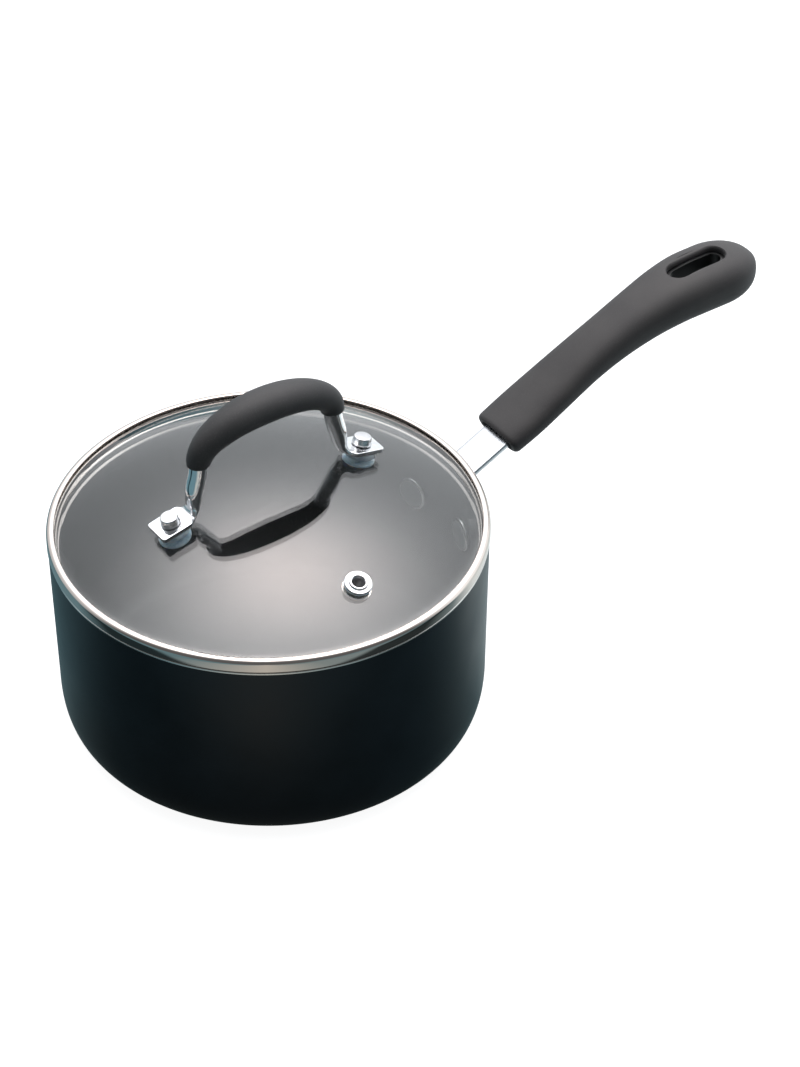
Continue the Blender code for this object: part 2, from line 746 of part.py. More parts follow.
def build_lid_handle(chrome, soft_plastic):
    legs, leg_top = tube_path()
    arch = arch_path(leg_top)
    tube = [(x, z, TUBE_RADIUS, TUBE_RADIUS, 2.0) for x, z in arch]
    bar = loft("lid_handle_bar", path_rings(mirrored(legs + tube), 12), chrome)
    bore = TUBE_RADIUS + SLEEVE_BORE_CLEARANCE
    sleeve = []
    for x, z in arch:
        middle = 1 - (x / LEG_SPREAD) ** 2
        side, top = (
            end + (thick - end) * middle**power
            for end, thick, power in zip(SLEEVE_END_WALL, SLEEVE_MIDDLE_WALL, SLEEVE_SWELL)
        )
        sleeve.append((x, z, bore + side, bore + top, 2.0))
    grip = loft("lid_handle_sleeve", path_rings(mirrored(sleeve)), soft_plastic)
    below = [(LEG_SPREAD, leg_top - 2 * TUBE_RADIUS)]
    bore_path = [(x, z, bore, bore, 2.0) for x, z in below + arch]
    cut(grip, loft("sleeve_bore", path_rings(mirrored(bore_path), 12)))
    for side, angle in FEET:
        cut(bar, cylinder_cutter(
            f"tab_rivet_hole_{side}",
            LID_RIVET_SHANK + GAP,
            6 * TAB_THICKNESS,
            **on_foot(angle, (TAB_BOTTOM + TAB_TOP) / 2),
        ))


def on_foot(angle, lift):
    """A place on a foot's rivet axis, this far above the glass."""
    slope = glass_slope(FOOT_RADIUS)
    return {
        "location": radial_point(
            FOOT_RADIUS + lift * math.sin(slope),
            angle,
            glass_height(FOOT_RADIUS) + lift * math.cos(slope),
        ),
        "rotation": (0, slope, angle),
    }


def build_stacks(chrome, steel, rubber):
    """On each foot, from the top down: rivet head, tab, gasket, glass, gasket, washer and rivet tail."""
    head_bottom = TAB_TOP + GAP
    head_top = head_bottom + LID_RIVET_HEAD_HEIGHT
    tail_top = WASHER_BOTTOM - GAP
    tail_bottom = tail_top - LID_RIVET_TAIL_HEIGHT
    rivet = (
        (0, head_top),
        (LID_RIVET_HEAD - LID_RIVET_EDGE, head_top),
        (LID_RIVET_HEAD, head_top - LID_RIVET_EDGE),
        (LID_RIVET_HEAD, head_bottom),
        (LID_RIVET_SHANK, head_bottom),
        (LID_RIVET_SHANK, tail_top),
        (LID_RIVET_TAIL, tail_top),
        (LID_RIVET_TAIL, tail_top - LID_RIVET_EDGE),
        (0.7 * LID_RIVET_TAIL, tail_bottom),
        (0, tail_bottom),
    )
    hole = LID_RIVET_SHANK + GAP
    gasket = ring_profile(hole, FOOT_GASKET_RADIUS, GAP, GASKET_TOP)
    under = ring_profile(hole, FOOT_GASKET_RADIUS, UNDER_GASKET_BOTTOM, UNDER_GASKET_TOP)
    washer = ring_profile(hole, WASHER_RADIUS, WASHER_BOTTOM, WASHER_TOP)
    for side, angle in FEET:
        place = on_glass(FOOT_RADIUS, angle)
        turned(f"lid_rivet_{side}", rivet, chrome, **place)
        turned(f"foot_gasket_{side}", gasket, rubber, closed=True, **place)
        turned(f"under_gasket_{side}", under, rubber, closed=True, **place)
        turned(f"under_washer_{side}", washer, steel, closed=True, **place)


def build_vent(chrome, steel, rubber):
    """A flanged eyelet through the glass, on a thin gasket, clinched over a washer beneath."""
    place = on_glass(VENT_RADIUS, VENT_ANGLE)
    flange_bottom = GAP + VENT_GASKET_HEIGHT + GAP
    flange_top = flange_bottom + VENT_FLANGE_THICKNESS
    lip_top = flange_top + VENT_LIP_HEIGHT
    washer_top = -GLASS_THICKNESS - GAP
    washer_bottom = washer_top - WASHER_HEIGHT
    clinch_top = washer_bottom - GAP
    clinch_bottom = clinch_top - VENT_FLANGE_THICKNESS
    lip_middle = (VENT_BORE + VENT_BARREL) / 2
    eyelet = (
        (lip_middle, lip_top),
        (VENT_BARREL, flange_top + VENT_LIP_FOOT / 2),
        (VENT_BARREL + VENT_LIP_FOOT, flange_top),
        (VENT_FLANGE, flange_top),
        (VENT_FLANGE, flange_bottom),
        (VENT_BARREL, flange_bottom),
        (VENT_BARREL, clinch_top),
        (0.93 * VENT_FLANGE, clinch_top),
        (0.93 * VENT_FLANGE, clinch_bottom),
        (VENT_BORE, clinch_bottom),
        (VENT_BORE, flange_top),
    )
    hole = VENT_BARREL + GAP
    gasket = ring_profile(
        hole, VENT_FLANGE + VENT_GASKET_MARGIN, GAP, GAP + VENT_GASKET_HEIGHT
    )
    washer = ring_profile(hole, VENT_WASHER_RADIUS, washer_bottom, washer_top)
    turned("vent_eyelet", eyelet, chrome, closed=True, **place)
    turned("vent_gasket", gasket, rubber, closed=True, **place)
    turned("vent_washer", washer, steel, closed=True, **place)


# ---------------------------------------------------------------- assembly

def main():
    clear_scene()
    new_collection(COLLECTION)
    new_collection(CUTTERS).hide_render = True
    coating = principled("black non-stick coating", (0.012, 0.018, 0.022), 0.45)
    polished = principled("polished stainless steel", (0.72, 0.70, 0.66), 0.12, 1.0)
    chrome = principled("chrome plated steel", (0.80, 0.80, 0.80), 0.06, 1.0)
    rivet_coat = principled("grey coated rivet", (0.20, 0.21, 0.22), 0.40)
    hard_plastic = principled("hard black nylon", (0.015, 0.015, 0.016), 0.35)
    soft_plastic = principled("charcoal soft-touch rubber", (0.065, 0.063, 0.064), 0.65)
    glass = principled("tempered glass", (0.85, 0.90, 0.90), 0.02, 0.0, 0.35)
    rubber = principled("pale silicone rubber", (0.60, 0.68, 0.74), 0.35)
    build_pan_body(coating)
    build_pan_rivets(rivet_coat)
    strap_path = build_bracket(polished)
    build_handle(strap_path, hard_plastic, soft_plastic)
    build_glass(glass)
    build_rim(polished)
    build_lid_handle(chrome, soft_plastic)
    build_stacks(chrome, polished, rubber)
    build_vent(chrome, polished, rubber)


main()
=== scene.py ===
"""The finished look of a two quart saucepan with a glass lid.

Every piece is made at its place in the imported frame, in metres: the pan stands on z = 0 with its
axis on Z, and the pan handle points along +X. Turned pieces are profiles of (radius, height) corners;
the two handles are sections along a path in the XZ plane. The floor, light and camera come last.
"""

import math
from math import cos, pi, sin

import bmesh
import bpy
from mathutils import Matrix, Vector


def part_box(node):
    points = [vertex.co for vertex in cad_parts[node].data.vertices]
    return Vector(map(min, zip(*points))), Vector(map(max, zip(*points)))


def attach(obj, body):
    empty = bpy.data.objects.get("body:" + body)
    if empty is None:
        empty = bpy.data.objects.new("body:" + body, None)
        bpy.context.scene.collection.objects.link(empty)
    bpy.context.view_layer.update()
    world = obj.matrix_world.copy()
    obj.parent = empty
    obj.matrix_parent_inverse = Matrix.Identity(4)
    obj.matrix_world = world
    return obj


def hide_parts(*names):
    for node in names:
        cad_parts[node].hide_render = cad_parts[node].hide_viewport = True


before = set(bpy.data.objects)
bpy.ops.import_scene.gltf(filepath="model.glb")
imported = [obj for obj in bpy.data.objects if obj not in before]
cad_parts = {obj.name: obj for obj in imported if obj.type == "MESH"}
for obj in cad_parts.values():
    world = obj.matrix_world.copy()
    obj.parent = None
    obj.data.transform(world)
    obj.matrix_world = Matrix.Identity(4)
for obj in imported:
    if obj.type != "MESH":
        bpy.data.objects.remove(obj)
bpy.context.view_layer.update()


# ---- sizes

GAP = 0.0003

pan_low, pan_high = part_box("pan_body")
rim_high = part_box("lid_rim")[1]
glass_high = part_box("lid_glass")[1]
sleeve_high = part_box("lid_handle_sleeve")[1]

# Pan
RIM_RADIUS = pan_high.y
PAN_HEIGHT = pan_high.z
PAN_WALL = 0.0026
BASE_THICKNESS = 0.0036
WALL_TAPER = math.radians(0.8)
CORNER_WIDTH = 0.0145
CORNER_HEIGHT = 0.024
CORNER_POWER = 2.9
LIP_ROUND = 0.0005
BARE_LIP = 0.0007
BASE_GROOVES = 9
BASE_GROOVE_DEPTH = 0.00025

# Lid rim
BAND_RADIUS = rim_high.y
BAND_BOTTOM = PAN_HEIGHT + GAP
RIM_SHEET = 0.00045
RIM_TOP = rim_high.z
BEAD = 0.0017
LIP_WIDTH = 0.0029
LIP_FALL = 0.0002
FLANGE_DROP = 0.0058
FLANGE_STEP = 0.0004
FLANGE_STEP_DROP = 0.0022
HEM = 0.0009
FLANGE_PLAY = 0.0009
FLANGE_RADIUS = RIM_RADIUS - PAN_WALL - FLANGE_PLAY - RIM_SHEET / 2

# Glass
GLASS_OUTER = glass_high.y
GLASS_TOP = glass_high.z
GLASS_THICKNESS = 0.0032
GLASS_CURVE = 0.197
GLASS_EDGE_WIDTH = 0.005
GLASS_EDGE_SLOPE = math.radians(5)
GLASS_EDGE_ROUND = 0.0008
GLASS_BEND = GLASS_OUTER - GLASS_EDGE_WIDTH

# Riveted feet of the lid handle, as heights along the rivet from the top of the glass
FOOT_RADIUS = 0.0436
SHANK_RADIUS = 0.0020
FOOT_GASKET_RADIUS = 0.0065
FOOT_GASKET = 0.0024
FOOT_GASKET_TOP = GAP + FOOT_GASKET
TAB_BOTTOM = FOOT_GASKET_TOP + GAP
TAB_THICKNESS = 0.0019
TAB_POWER = 20.0
TAB_TOP = TAB_BOTTOM + TAB_THICKNESS
HEAD_BOTTOM = TAB_TOP + GAP
HEAD_RADIUS = 0.0040
HEAD_HEIGHT = 0.0034
HEAD_TOP = HEAD_BOTTOM + HEAD_HEIGHT
UNDER_GASKET_TOP = -GLASS_THICKNESS - GAP
UNDER_GASKET = 0.0010
UNDER_GASKET_BOTTOM = UNDER_GASKET_TOP - UNDER_GASKET
WASHER_TOP = UNDER_GASKET_BOTTOM - GAP
WASHER = 0.0008
WASHER_BOTTOM = WASHER_TOP - WASHER
WASHER_RADIUS = 0.0055
TAIL_TOP = WASHER_BOTTOM - GAP
TAIL_HEIGHT = 0.0013
TAIL_BOTTOM = TAIL_TOP - TAIL_HEIGHT
TAIL_RADIUS = 0.0037

# Lid handle
TAB_LENGTH = 0.0145
TAB_WIDTH = 0.0125
TAB_CORNER = 0.0012
TUBE_RADIUS = 0.00375
LEG_INSET = 0.0126
LEG_SPREAD = FOOT_RADIUS - LEG_INSET
LEG_LEAN = 0.0030
KNEE_REACH = 0.0030
KNEE_RISE = 0.0022
LEG_HEIGHT = 0.0222
ARCH_HEIGHT = 0.0377
ARCH_POWER = 2.1
SLEEVE_END = (0.0047, 0.0049)
SLEEVE_MIDDLE = (0.0083, sleeve_high.z - GLASS_TOP - ARCH_HEIGHT)
SLEEVE_END_ROUND = 0.0011

# Steam vent
VENT_INSET = 0.0252
VENT_RADIUS = RIM_RADIUS - VENT_INSET
VENT_BORE = 0.0023
VENT_BARREL = 0.0037
VENT_FLANGE = 0.0054
VENT_SHEET = 0.0006
VENT_GASKET = 0.0005
VENT_WASHER = 0.0008
VENT_WASHER_RADIUS = 0.0058
VENT_FLANGE_BOTTOM = GAP + VENT_GASKET + GAP
VENT_LIP = 0.0007

# Pan handle
BRACKET_SHEET = 0.0025
PLATE_WIDTH = 0.052
PLATE_HEIGHT = 0.024
PLATE_CORNER = 0.007
STRAP_WIDTH = 0.0155
STRAP_BEND = 0.0075
STRAP_DROP = 0.0006
TANG_LENGTH = 0.034
TANG_WIDTH = 0.0115
PAN_RIVET_DROP = 0.029
PAN_RIVET_HEIGHT = PAN_HEIGHT - PAN_RIVET_DROP
PAN_RIVET_ANGLE = math.radians(11.8)
PAN_RIVET_SHANK = 0.0027
PAN_RIVET_HEAD = 0.0072
PAN_RIVET_HEAD_HEIGHT = 0.0017
PAN_RIVET_TAIL = 0.0055
PAN_RIVET_TAIL_HEIGHT = 0.0020
GRIP_REACH = 0.0243
GRIP_START = RIM_RADIUS + GRIP_REACH
COVER_SIDE = 0.0036
COVER_TOP = 0.0024
GRIP_NOSE = 0.0022
GRIP_TIP = 0.0211
TIP_FLATNESS = 0.8
GRIP_POWER = 2.6
CORE_RECESS = 0.005
SLOT_LENGTH = 0.0285
SLOT_WIDTH = 0.0100
SLOT_LEDGE = 0.0017
SLOT_ROUND = 0.0019
SLOT_CENTRE = 0.1025
# Distance behind the grip's front, height above the base, half width, half thickness
GRIP_STATIONS = (
    (0.000, 0.0856, 0.0130, 0.0059),
    (0.013, 0.0917, 0.0133, 0.0061),
    (0.028, 0.0991, 0.0126, 0.0066),
    (0.043, 0.1063, 0.0117, 0.0073),
    (0.058, 0.1123, 0.0117, 0.0080),
    (0.073, 0.1173, 0.0127, 0.0089),
    (0.087, 0.1208, 0.0143, 0.0098),
    (0.099, 0.1224, 0.0154, 0.0105),
    (0.111, 0.1227, 0.0156, 0.0106),
)

# Fineness
ROUND_STEPS = 256
SMALL_STEPS = 64
SECTION_POINTS = 64
CORNER_STEPS = 16
SHARP_ANGLE = math.radians(32)


# ---- shape tools

def quarter_turn(steps):
    """Angles from 0 to 90 degrees."""
    return [pi / 2 * step / steps for step in range(steps + 1)]


def turned_out(angle, radius, height, tilt):
    """A place at this angle about Z, where a piece's own Z is tilted outward by this much."""
    return (
        Matrix.Rotation(angle, 4, "Z")
        @ Matrix.Translation((radius, 0, height))
        @ Matrix.Rotation(tilt, 4, "Y")
    )


def filleted(corners, closed=False, steps=5):
    """The outline through (radius, height, fillet) corners, with an arc of that fillet at each."""
    outline = []
    last = len(corners) - 1
    for index, (x, z, fillet) in enumerate(corners):
        corner = Vector((x, z))
        if fillet == 0 or (not closed and index in (0, last)):
            outline.append(corner)
            continue
        before = Vector(corners[index - 1][:2]) - corner
        after = Vector(corners[(index + 1) % (last + 1)][:2]) - corner
        half = before.angle(after) / 2
        setback = min(fillet / math.tan(half), 0.48 * before.length, 0.48 * after.length)
        radius = setback * math.tan(half)
        middle = (before.normalized() + after.normalized()).normalized()
        centre = corner + middle * (radius / sin(half))
        arm = corner + before.normalized() * setback - centre
        turn = math.copysign(pi - 2 * half, after.cross(before) * -1)
        for step in range(steps + 1):
            outline.append(centre + Matrix.Rotation(-turn * step / steps, 2) @ arm)
    return outline


def sheet_outline(centre_line, thickness):
    """The closed outline of a bent sheet of this thickness along a centre line, with round ends."""
    end_steps = 4
    sides = ([], [])
    for index, point in enumerate(centre_line):
        before = centre_line[max(index - 1, 0)]
        after = centre_line[min(index + 1, len(centre_line) - 1)]
        along = (after - before).normalized()
        square = Vector((-along.y, along.x)) * thickness / 2
        sides[0].append(point + square)
        sides[1].append(point - square)
    far_end, near_end = [], []
    for cap, tip, neighbour in ((far_end, -1, -2), (near_end, 0, 1)):
        out = (centre_line[tip] - centre_line[neighbour]).normalized() * thickness / 2
        side = Vector((-out.y, out.x))
        for step in range(1, end_steps):
            angle = pi * step / end_steps
            cap.append(centre_line[tip] + side * cos(angle) + out * sin(angle))
    return sides[0] + far_end + sides[1][::-1] + near_end


def lathe(outline, steps=SMALL_STEPS, closed=False, marks=()):
    """Turns an outline about Z. Each mark is (first segment, material index)."""
    shape = bmesh.new()
    columns = []
    for step in range(steps):
        angle = 2 * pi * step / steps
        column = []
        for index, (radius, height) in enumerate(outline):
            if radius < 1e-7 and columns:
                column.append(columns[0][index])
            else:
                column.append(shape.verts.new((
                    radius * cos(angle), radius * sin(angle), height
                )))
        columns.append(column)
    rows = len(outline) if closed else len(outline) - 1
    for step, column in enumerate(columns):
        following = columns[(step + 1) % steps]
        for row in range(rows):
            below = (row + 1) % len(outline)
            corners = [column[row], column[below], following[below], following[row]]
            face = shape.faces.new(list(dict.fromkeys(corners)))
            face.material_index = next((item for first, item in reversed(marks) if row >= first), 0)
    bmesh.ops.recalc_face_normals(shape, faces=shape.faces)
    return shape


def loft(rings, joined=False):
    """A skin through rings with equal numbers of points: capped, or joined from last to first."""
    shape = bmesh.new()
    rows = [[shape.verts.new(point) for point in ring] for ring in rings]
    pairs = list(zip(rows, rows[1:]))
    if joined:
        pairs.append((rows[-1], rows[0]))
    for low, high in pairs:
        for side in range(len(low)):
            after = (side + 1) % len(low)
            shape.faces.new((low[side], low[after], high[after], high[side]))
    if not joined:
        shape.faces.new(rows[0])
        shape.faces.new(rows[-1])
    bmesh.ops.recalc_face_normals(shape, faces=shape.faces)
    return shape


def signed_power(value, power):
    return math.copysign(abs(value) ** power, value)


def oval(centre, slope, half_width, half_height, power=2.0, points=SECTION_POINTS):
    """A superellipse across a path in the XZ plane, rounder as its power nears 2."""
    up = Vector((-sin(slope), 0, cos(slope)))
    middle = Vector((centre[0], 0, centre[1]))
    ring = []
    for step in range(points):
        angle = 2 * pi * (step + 0.5) / points
        width = half_width * signed_power(cos(angle), 2 / power)
        height = half_height * signed_power(sin(angle), 2 / power)
        ring.append(middle + Vector((0, width, 0)) + up * height)
    return ring


def between(stations, distance):
    """The stations' values at this distance, on a smooth curve through them."""
    last = len(stations) - 1
    index = 0
    while index < last - 1 and distance > stations[index + 1][0]:
        index += 1
    start, end = stations[index], stations[index + 1]
    before = stations[max(index - 1, 0)]
    after = stations[min(index + 2, last)]
    span = end[0] - start[0]
    part = (distance - start[0]) / span
    values = []
    for item in range(1, len(start)):
        leave = (end[item] - before[item]) / (end[0] - before[0]) * span
        arrive = (after[item] - start[item]) / (after[0] - start[0]) * span
        values.append(
            (2 * part**3 - 3 * part**2 + 1) * start[item]
            + (part**3 - 2 * part**2 + part) * leave
            + (3 * part**2 - 2 * part**3) * end[item]
            + (part**3 - part**2) * arrive
        )
    return values


def path_rings(stations, points=SECTION_POINTS):
    """Sections along stations of (x, z, half width, half height, power), square to the path."""
    rings = []
    for index, (x, z, half_width, half_height, power) in enumerate(stations):
        before = stations[max(index - 1, 0)]
        after = stations[min(index + 1, len(stations) - 1)]
        slope = math.atan2(after[1] - before[1], after[0] - before[0])
        rings.append(oval((x, z), slope, half_width, half_height, power, points))
    return rings


def mirrored(stations):
    left = [(-station[0], *station[1:]) for station in stations[:-1]]
    return left + stations[::-1]


def rounded_outline(half_length, half_width, radius):
    """A rectangle with round corners, anticlockwise."""
    outline = []
    for turned_by, (x, y) in enumerate(((1, 1), (-1, 1), (-1, -1), (1, -1))):
        centre = (x * (half_length - radius), y * (half_width - radius))
        for part in quarter_turn(CORNER_STEPS):
            angle = pi / 2 * turned_by + part
            outline.append((
                centre[0] + radius * cos(angle), centre[1] + radius * sin(angle)
            ))
    return outline


def piece(name, shape, *materials, place=None):
    """An object at the origin with this shape, put in its place in the mesh."""
    if place is not None:
        bmesh.ops.transform(shape, matrix=place, verts=shape.verts)
    mesh = bpy.data.meshes.new(name)
    shape.to_mesh(mesh)
    shape.free()
    for material in materials:
        mesh.materials.append(material)
    obj = bpy.data.objects.new(name, mesh)
    bpy.context.scene.collection.objects.link(obj)
    return obj


def settle(obj):
    """Turns the object's modifiers into its mesh."""
    graph = bpy.context.evaluated_depsgraph_get()
    mesh = bpy.data.meshes.new_from_object(obj.evaluated_get(graph))
    obj.modifiers.clear()
    obj.data = mesh


def carve(obj, *tools, operation="DIFFERENCE"):
    """Cuts, joins or trims the object with each tool, and removes the tools."""
    for tool in tools:
        modifier = obj.modifiers.new(tool.name, "BOOLEAN")
        modifier.operation = operation
        modifier.solver = "EXACT"
        modifier.object = tool
    settle(obj)
    for tool in tools:
        bpy.data.objects.remove(tool)


def hand_in(obj, body, slot, *nodes, sharp=SHARP_ANGLE):
    """Shades the piece, puts it on its body and lets it stand for its CAD nodes."""
    obj.data.shade_smooth()
    obj.data.set_sharp_from_angle(angle=sharp)
    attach(obj, body)
    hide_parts(*nodes)
    return obj


def drill(obj, *holes):
    """Cuts round holes of (radius, length, place), each along its place's own Z."""
    pins = []
    for radius, length, place in holes:
        shape = bmesh.new()
        bmesh.ops.create_cone(
            shape, cap_ends=True, segments=SMALL_STEPS, radius1=radius, radius2=radius, depth=length
        )
        pins.append(piece("hole", shape, place=place))
    carve(obj, *pins)


def node(tree, kind, sockets=None, **settings):
    """Adds a node: its settings, and for each named input a value or the output that feeds it."""
    made = tree.nodes.new(kind)
    for name, value in settings.items():
        setattr(made, name, value)
    for name, value in (sockets or {}).items():
        if isinstance(value, bpy.types.NodeSocket):
            tree.links.new(value, made.inputs[name])
        else:
            made.inputs[name].default_value = value
    return made


# ---- finishes

def linear(hex_colour):
    """Linear RGBA of an sRGB hex colour."""
    values = [int(hex_colour[place:place + 2], 16) / 255 for place in (1, 3, 5)]
    return (*(v / 12.92 if v <= 0.04045 else ((v + 0.055) / 1.055) ** 2.4 for v in values), 1.0)


def maths(tree, operation, *values):
    """The result of this operation on values or outputs."""
    sockets = dict(enumerate(values))
    return node(tree, "ShaderNodeMath", sockets, operation=operation).outputs["Value"]


def along(tree, vector, axis):
    """How far the vector reaches along the axis."""
    return node(
        tree, "ShaderNodeVectorMath", {0: vector, 1: axis}, operation="DOT_PRODUCT"
    ).outputs["Value"]


def grain(tree, place, millimetres, detail=2.0, stretch=(1, 1, 1)):
    """A noise of features of this size, stretched along the axes if asked."""
    laid = node(tree, "ShaderNodeMapping", {"Vector": place, "Scale": stretch}).outputs["Vector"]
    return node(tree, "ShaderNodeTexNoise", {
        "Vector": laid, "Scale": 1000 / millimetres, "Detail": detail,
    }).outputs["Fac"]


def spread(tree, value, low, high, start=0.3, end=0.7):
    """The value carried from start..end to low..high."""
    return node(tree, "ShaderNodeMapRange", {
        "Value": value, "From Min": start, "From Max": end, "To Min": low, "To Max": high,
    }).outputs["Result"]


def blended(tree, factor, first, second):
    """The colour between two, each a hex colour or an output."""
    ends = [linear(colour) if isinstance(colour, str) else colour for colour in (first, second)]
    return node(tree, "ShaderNodeMix", {
        "Factor": factor, "A": ends[0], "B": ends[1],
    }, data_type="RGBA").outputs["Result"]


def mottled(tree, pattern, first, second):
    """The two colours laid out by a pattern."""
    return blended(tree, spread(tree, pattern, 0, 1), first, second)


def finish(name, **sockets):
    """A new material with these shader values: (material, tree, shader, object coordinates)."""
    material = bpy.data.materials.new(name)
    material.use_nodes = True
    tree = material.node_tree
    shader = tree.nodes["Principled BSDF"]
    for socket, value in sockets.items():
        shader.inputs[socket.replace("_", " ")].default_value = value
    place = node(tree, "ShaderNodeTexCoord").outputs["Object"]
    return material, tree, shader, place


def rough_surface(tree, target, *heights):
    """Bumps the surface with each (height, depth in millimetres) in turn."""
    for height, millimetres in reversed(heights):
        bump = node(tree, "ShaderNodeBump", {
            "Height": height, "Distance": millimetres / 1000, "Strength": 1.0,
        })
        tree.links.new(bump.outputs["Normal"], target.inputs["Normal"])
        target = bump


def dress(tree, shader, tone, roughness, *heights):
    """Gives the shader its roughness and bumps, and its colour unless that is one already set."""
    if tone is not None:
        tree.links.new(tone, shader.inputs["Base Color"])
    tree.links.new(roughness, shader.inputs["Roughness"])
    rough_surface(tree, shader, *heights)


def choose(tree, output, factor, first, second):
    """Shows the first shader where the factor is 0 and the second where it is 1."""
    mixed = node(tree, "ShaderNodeMixShader", {"Fac": factor, 1: first, 2: second})
    tree.links.new(mixed.outputs["Shader"], tree.nodes[output].inputs["Surface"])


def patterned(name, pattern, roughness, *bumps, tones=None, **sockets):
    """A finish whose roughness, and colour if it has two tones, follow one pattern.

    A pattern is (millimetres, detail, stretch), and each bump is (pattern, depth in millimetres).
    """
    material, tree, shader, place = finish(name, **sockets)
    main = grain(tree, place, *pattern)
    tone = mottled(tree, main, *tones) if tones else None
    heights = [(grain(tree, place, *bump), depth) for bump, depth in bumps]
    dress(tree, shader, tone, spread(tree, main, *roughness), *heights)
    return material


def inside_coating():
    """Grey PTFE non-stick with mica, sprayed: dull, speckled, and darkened up the wall by painted
    shade.
    """
    material, tree, shader, place = finish("grey PTFE non-stick", Specular_IOR_Level=0.35)
    patches = grain(tree, place, 30, 2.0)
    # The mica is about 0.1 mm across and is drawn at 0.6 mm so that it shows
    flakes = spread(tree, grain(tree, place, 0.6, 1.0), 0, 1, 0.62, 0.72)
    height = along(tree, place, (0, 0, 1))
    # Painted shade: the wall gets a darker colour than the floor, standing in for the shade that
    # falls on it
    painted_wall_shade = spread(tree, height, 0, 1, 0.4 * CORNER_HEIGHT, 1.4 * CORNER_HEIGHT)
    tone = blended(tree, painted_wall_shade, mottled(tree, patches, "#696667", "#716e6f"), "#3f4041")
    speckled = blended(tree, flakes, tone, "#6e6c6d")
    pebbles = grain(tree, place, 0.8, 0.0)
    dress(tree, shader, speckled, spread(tree, patches, 0.42, 0.52), (pebbles, 0.0006))
    return material


def rim_steel():
    """Stainless steel strip, rolled to shape and buffed: a mirror with faint lines along the roll."""
    material, tree, shader, place = finish(
        "buffed rolled stainless steel", Base_Color=linear("#ddd3cc"), Metallic=1.0
    )
    out = node(tree, "ShaderNodeVectorMath", {0: place, 1: (1, 1, 0)}, operation="MULTIPLY")
    radius = node(tree, "ShaderNodeVectorMath", {0: out.outputs["Vector"]}, operation="LENGTH")
    section = node(tree, "ShaderNodeCombineXYZ", {
        "X": radius.outputs["Value"], "Z": along(tree, place, (0, 0, 1)),
    }).outputs["Vector"]
    # The rolling lines are about 0.05 mm apart and are drawn at 0.35 mm so that they show
    lines = grain(tree, section, 0.35, 1.0)
    smears = grain(tree, place, 9, 2.0)
    dress(tree, shader, None, spread(tree, smears, 0.06, 0.13), (lines, 0.0012))
    return material


def rivet_coating():
    """Aluminium rivet heads under the non-stick spray, rubbed bare around the edge of the head."""
    material, tree, shader, place = finish("coated rivet head", Specular_IOR_Level=0.5)
    patches = grain(tree, place, 3, 2.0)
    axes = node(tree, "ShaderNodeSeparateXYZ", {"Vector": place}).outputs
    # Both rivets fold into one: across the wall and up it, from the rivet's own axis
    leftward = maths(tree, "MULTIPLY", maths(tree, "ABSOLUTE", axes["Y"]), cos(PAN_RIVET_ANGLE))
    across = maths(tree, "MULTIPLY_ADD", axes["X"], -sin(PAN_RIVET_ANGLE), leftward)
    upward = maths(tree, "SUBTRACT", axes["Z"], PAN_RIVET_HEIGHT)
    squares = [maths(tree, "POWER", value, 2.0) for value in (across, upward)]
    off_axis = maths(tree, "SQRT", maths(tree, "ADD", *squares))
    bare = spread(tree, off_axis, 0, 1, 0.80 * PAN_RIVET_HEAD, 0.88 * PAN_RIVET_HEAD)
    worn = blended(tree, bare, mottled(tree, patches, "#595c5e", "#676a6c"), "#d8d8d6")
    tree.links.new(bare, shader.inputs["Metallic"])
    dress(tree, shader, worn, spread(tree, bare, 0.34, 0.16, 0, 1), (patches, 0.004))
    return material


def soft_touch(name, light, dark, grain_size, depth):
    """Charcoal thermoplastic rubber from a spark-eroded mould: matt, grained, softly sheened."""
    material, tree, shader, place = finish(
        name,
        Specular_IOR_Level=0.35,
        Sheen_Weight=0.12,
        Sheen_Roughness=0.45,
        Sheen_Tint=linear("#c8ccd0"),
    )
    texture = grain(tree, place, grain_size, 2.0)
    tone = mottled(tree, grain(tree, place, 18, 3.0), dark, light)
    speckled = blended(tree, spread(tree, texture, 0.0, 0.35, 0.55, 0.75), tone, "#5a595a")
    dress(tree, shader, speckled, spread(tree, texture, 0.50, 0.66), (texture, depth))
    return material


def tempered_glass():
    """Soda-lime glass, sagged over a mould and tempered: clear, with the furnace's faint waviness.

    Lamps shine through it by a see-through stand-in for shadow and diffuse rays.
    """
    material, tree, shader, place = finish(
        "tempered soda-lime glass",
        Base_Color=linear("#fbfdfd"),
        Roughness=0.0,
        IOR=1.52,
        Transmission_Weight=1.0,
    )
    rough_surface(tree, shader, (grain(tree, place, 22, 1.0), 0.004))
    rays = node(tree, "ShaderNodeLightPath").outputs
    lamp_ray = maths(tree, "MAXIMUM", rays["Is Shadow Ray"], rays["Is Diffuse Ray"])
    clear = node(tree, "ShaderNodeBsdfTransparent", {"Color": linear("#f2f7f6")}).outputs["BSDF"]
    choose(tree, "Material Output", lamp_ray, shader.outputs["BSDF"], clear)
    return material


# Black non-stick enamel, sprayed and baked: satin, with a fine orange peel and a cool edge sheen
OUTSIDE = patterned(
    "sprayed black non-stick enamel", (26, 3.0), (0.36, 0.44), ((0.7, 2.0), 0.006),
    tones=("#101a20", "#17232a"),
    Specular_IOR_Level=0.30,
    Sheen_Weight=0.15,
    Sheen_Roughness=0.35,
    Sheen_Tint=linear("#8fc4cc"),
)
INSIDE = inside_coating()
# Aluminium where the lathe trimmed the coated pan: bright, with fine turning marks
TURNING = (0.4, 1.0, (0.05, 0.05, 1))
ALUMINIUM = patterned(
    "turned bare aluminium", TURNING, (0.14, 0.28), (TURNING, 0.004),
    Base_Color=linear("#e6e4e0"), Metallic=1.0,
)
RIM_STEEL = rim_steel()
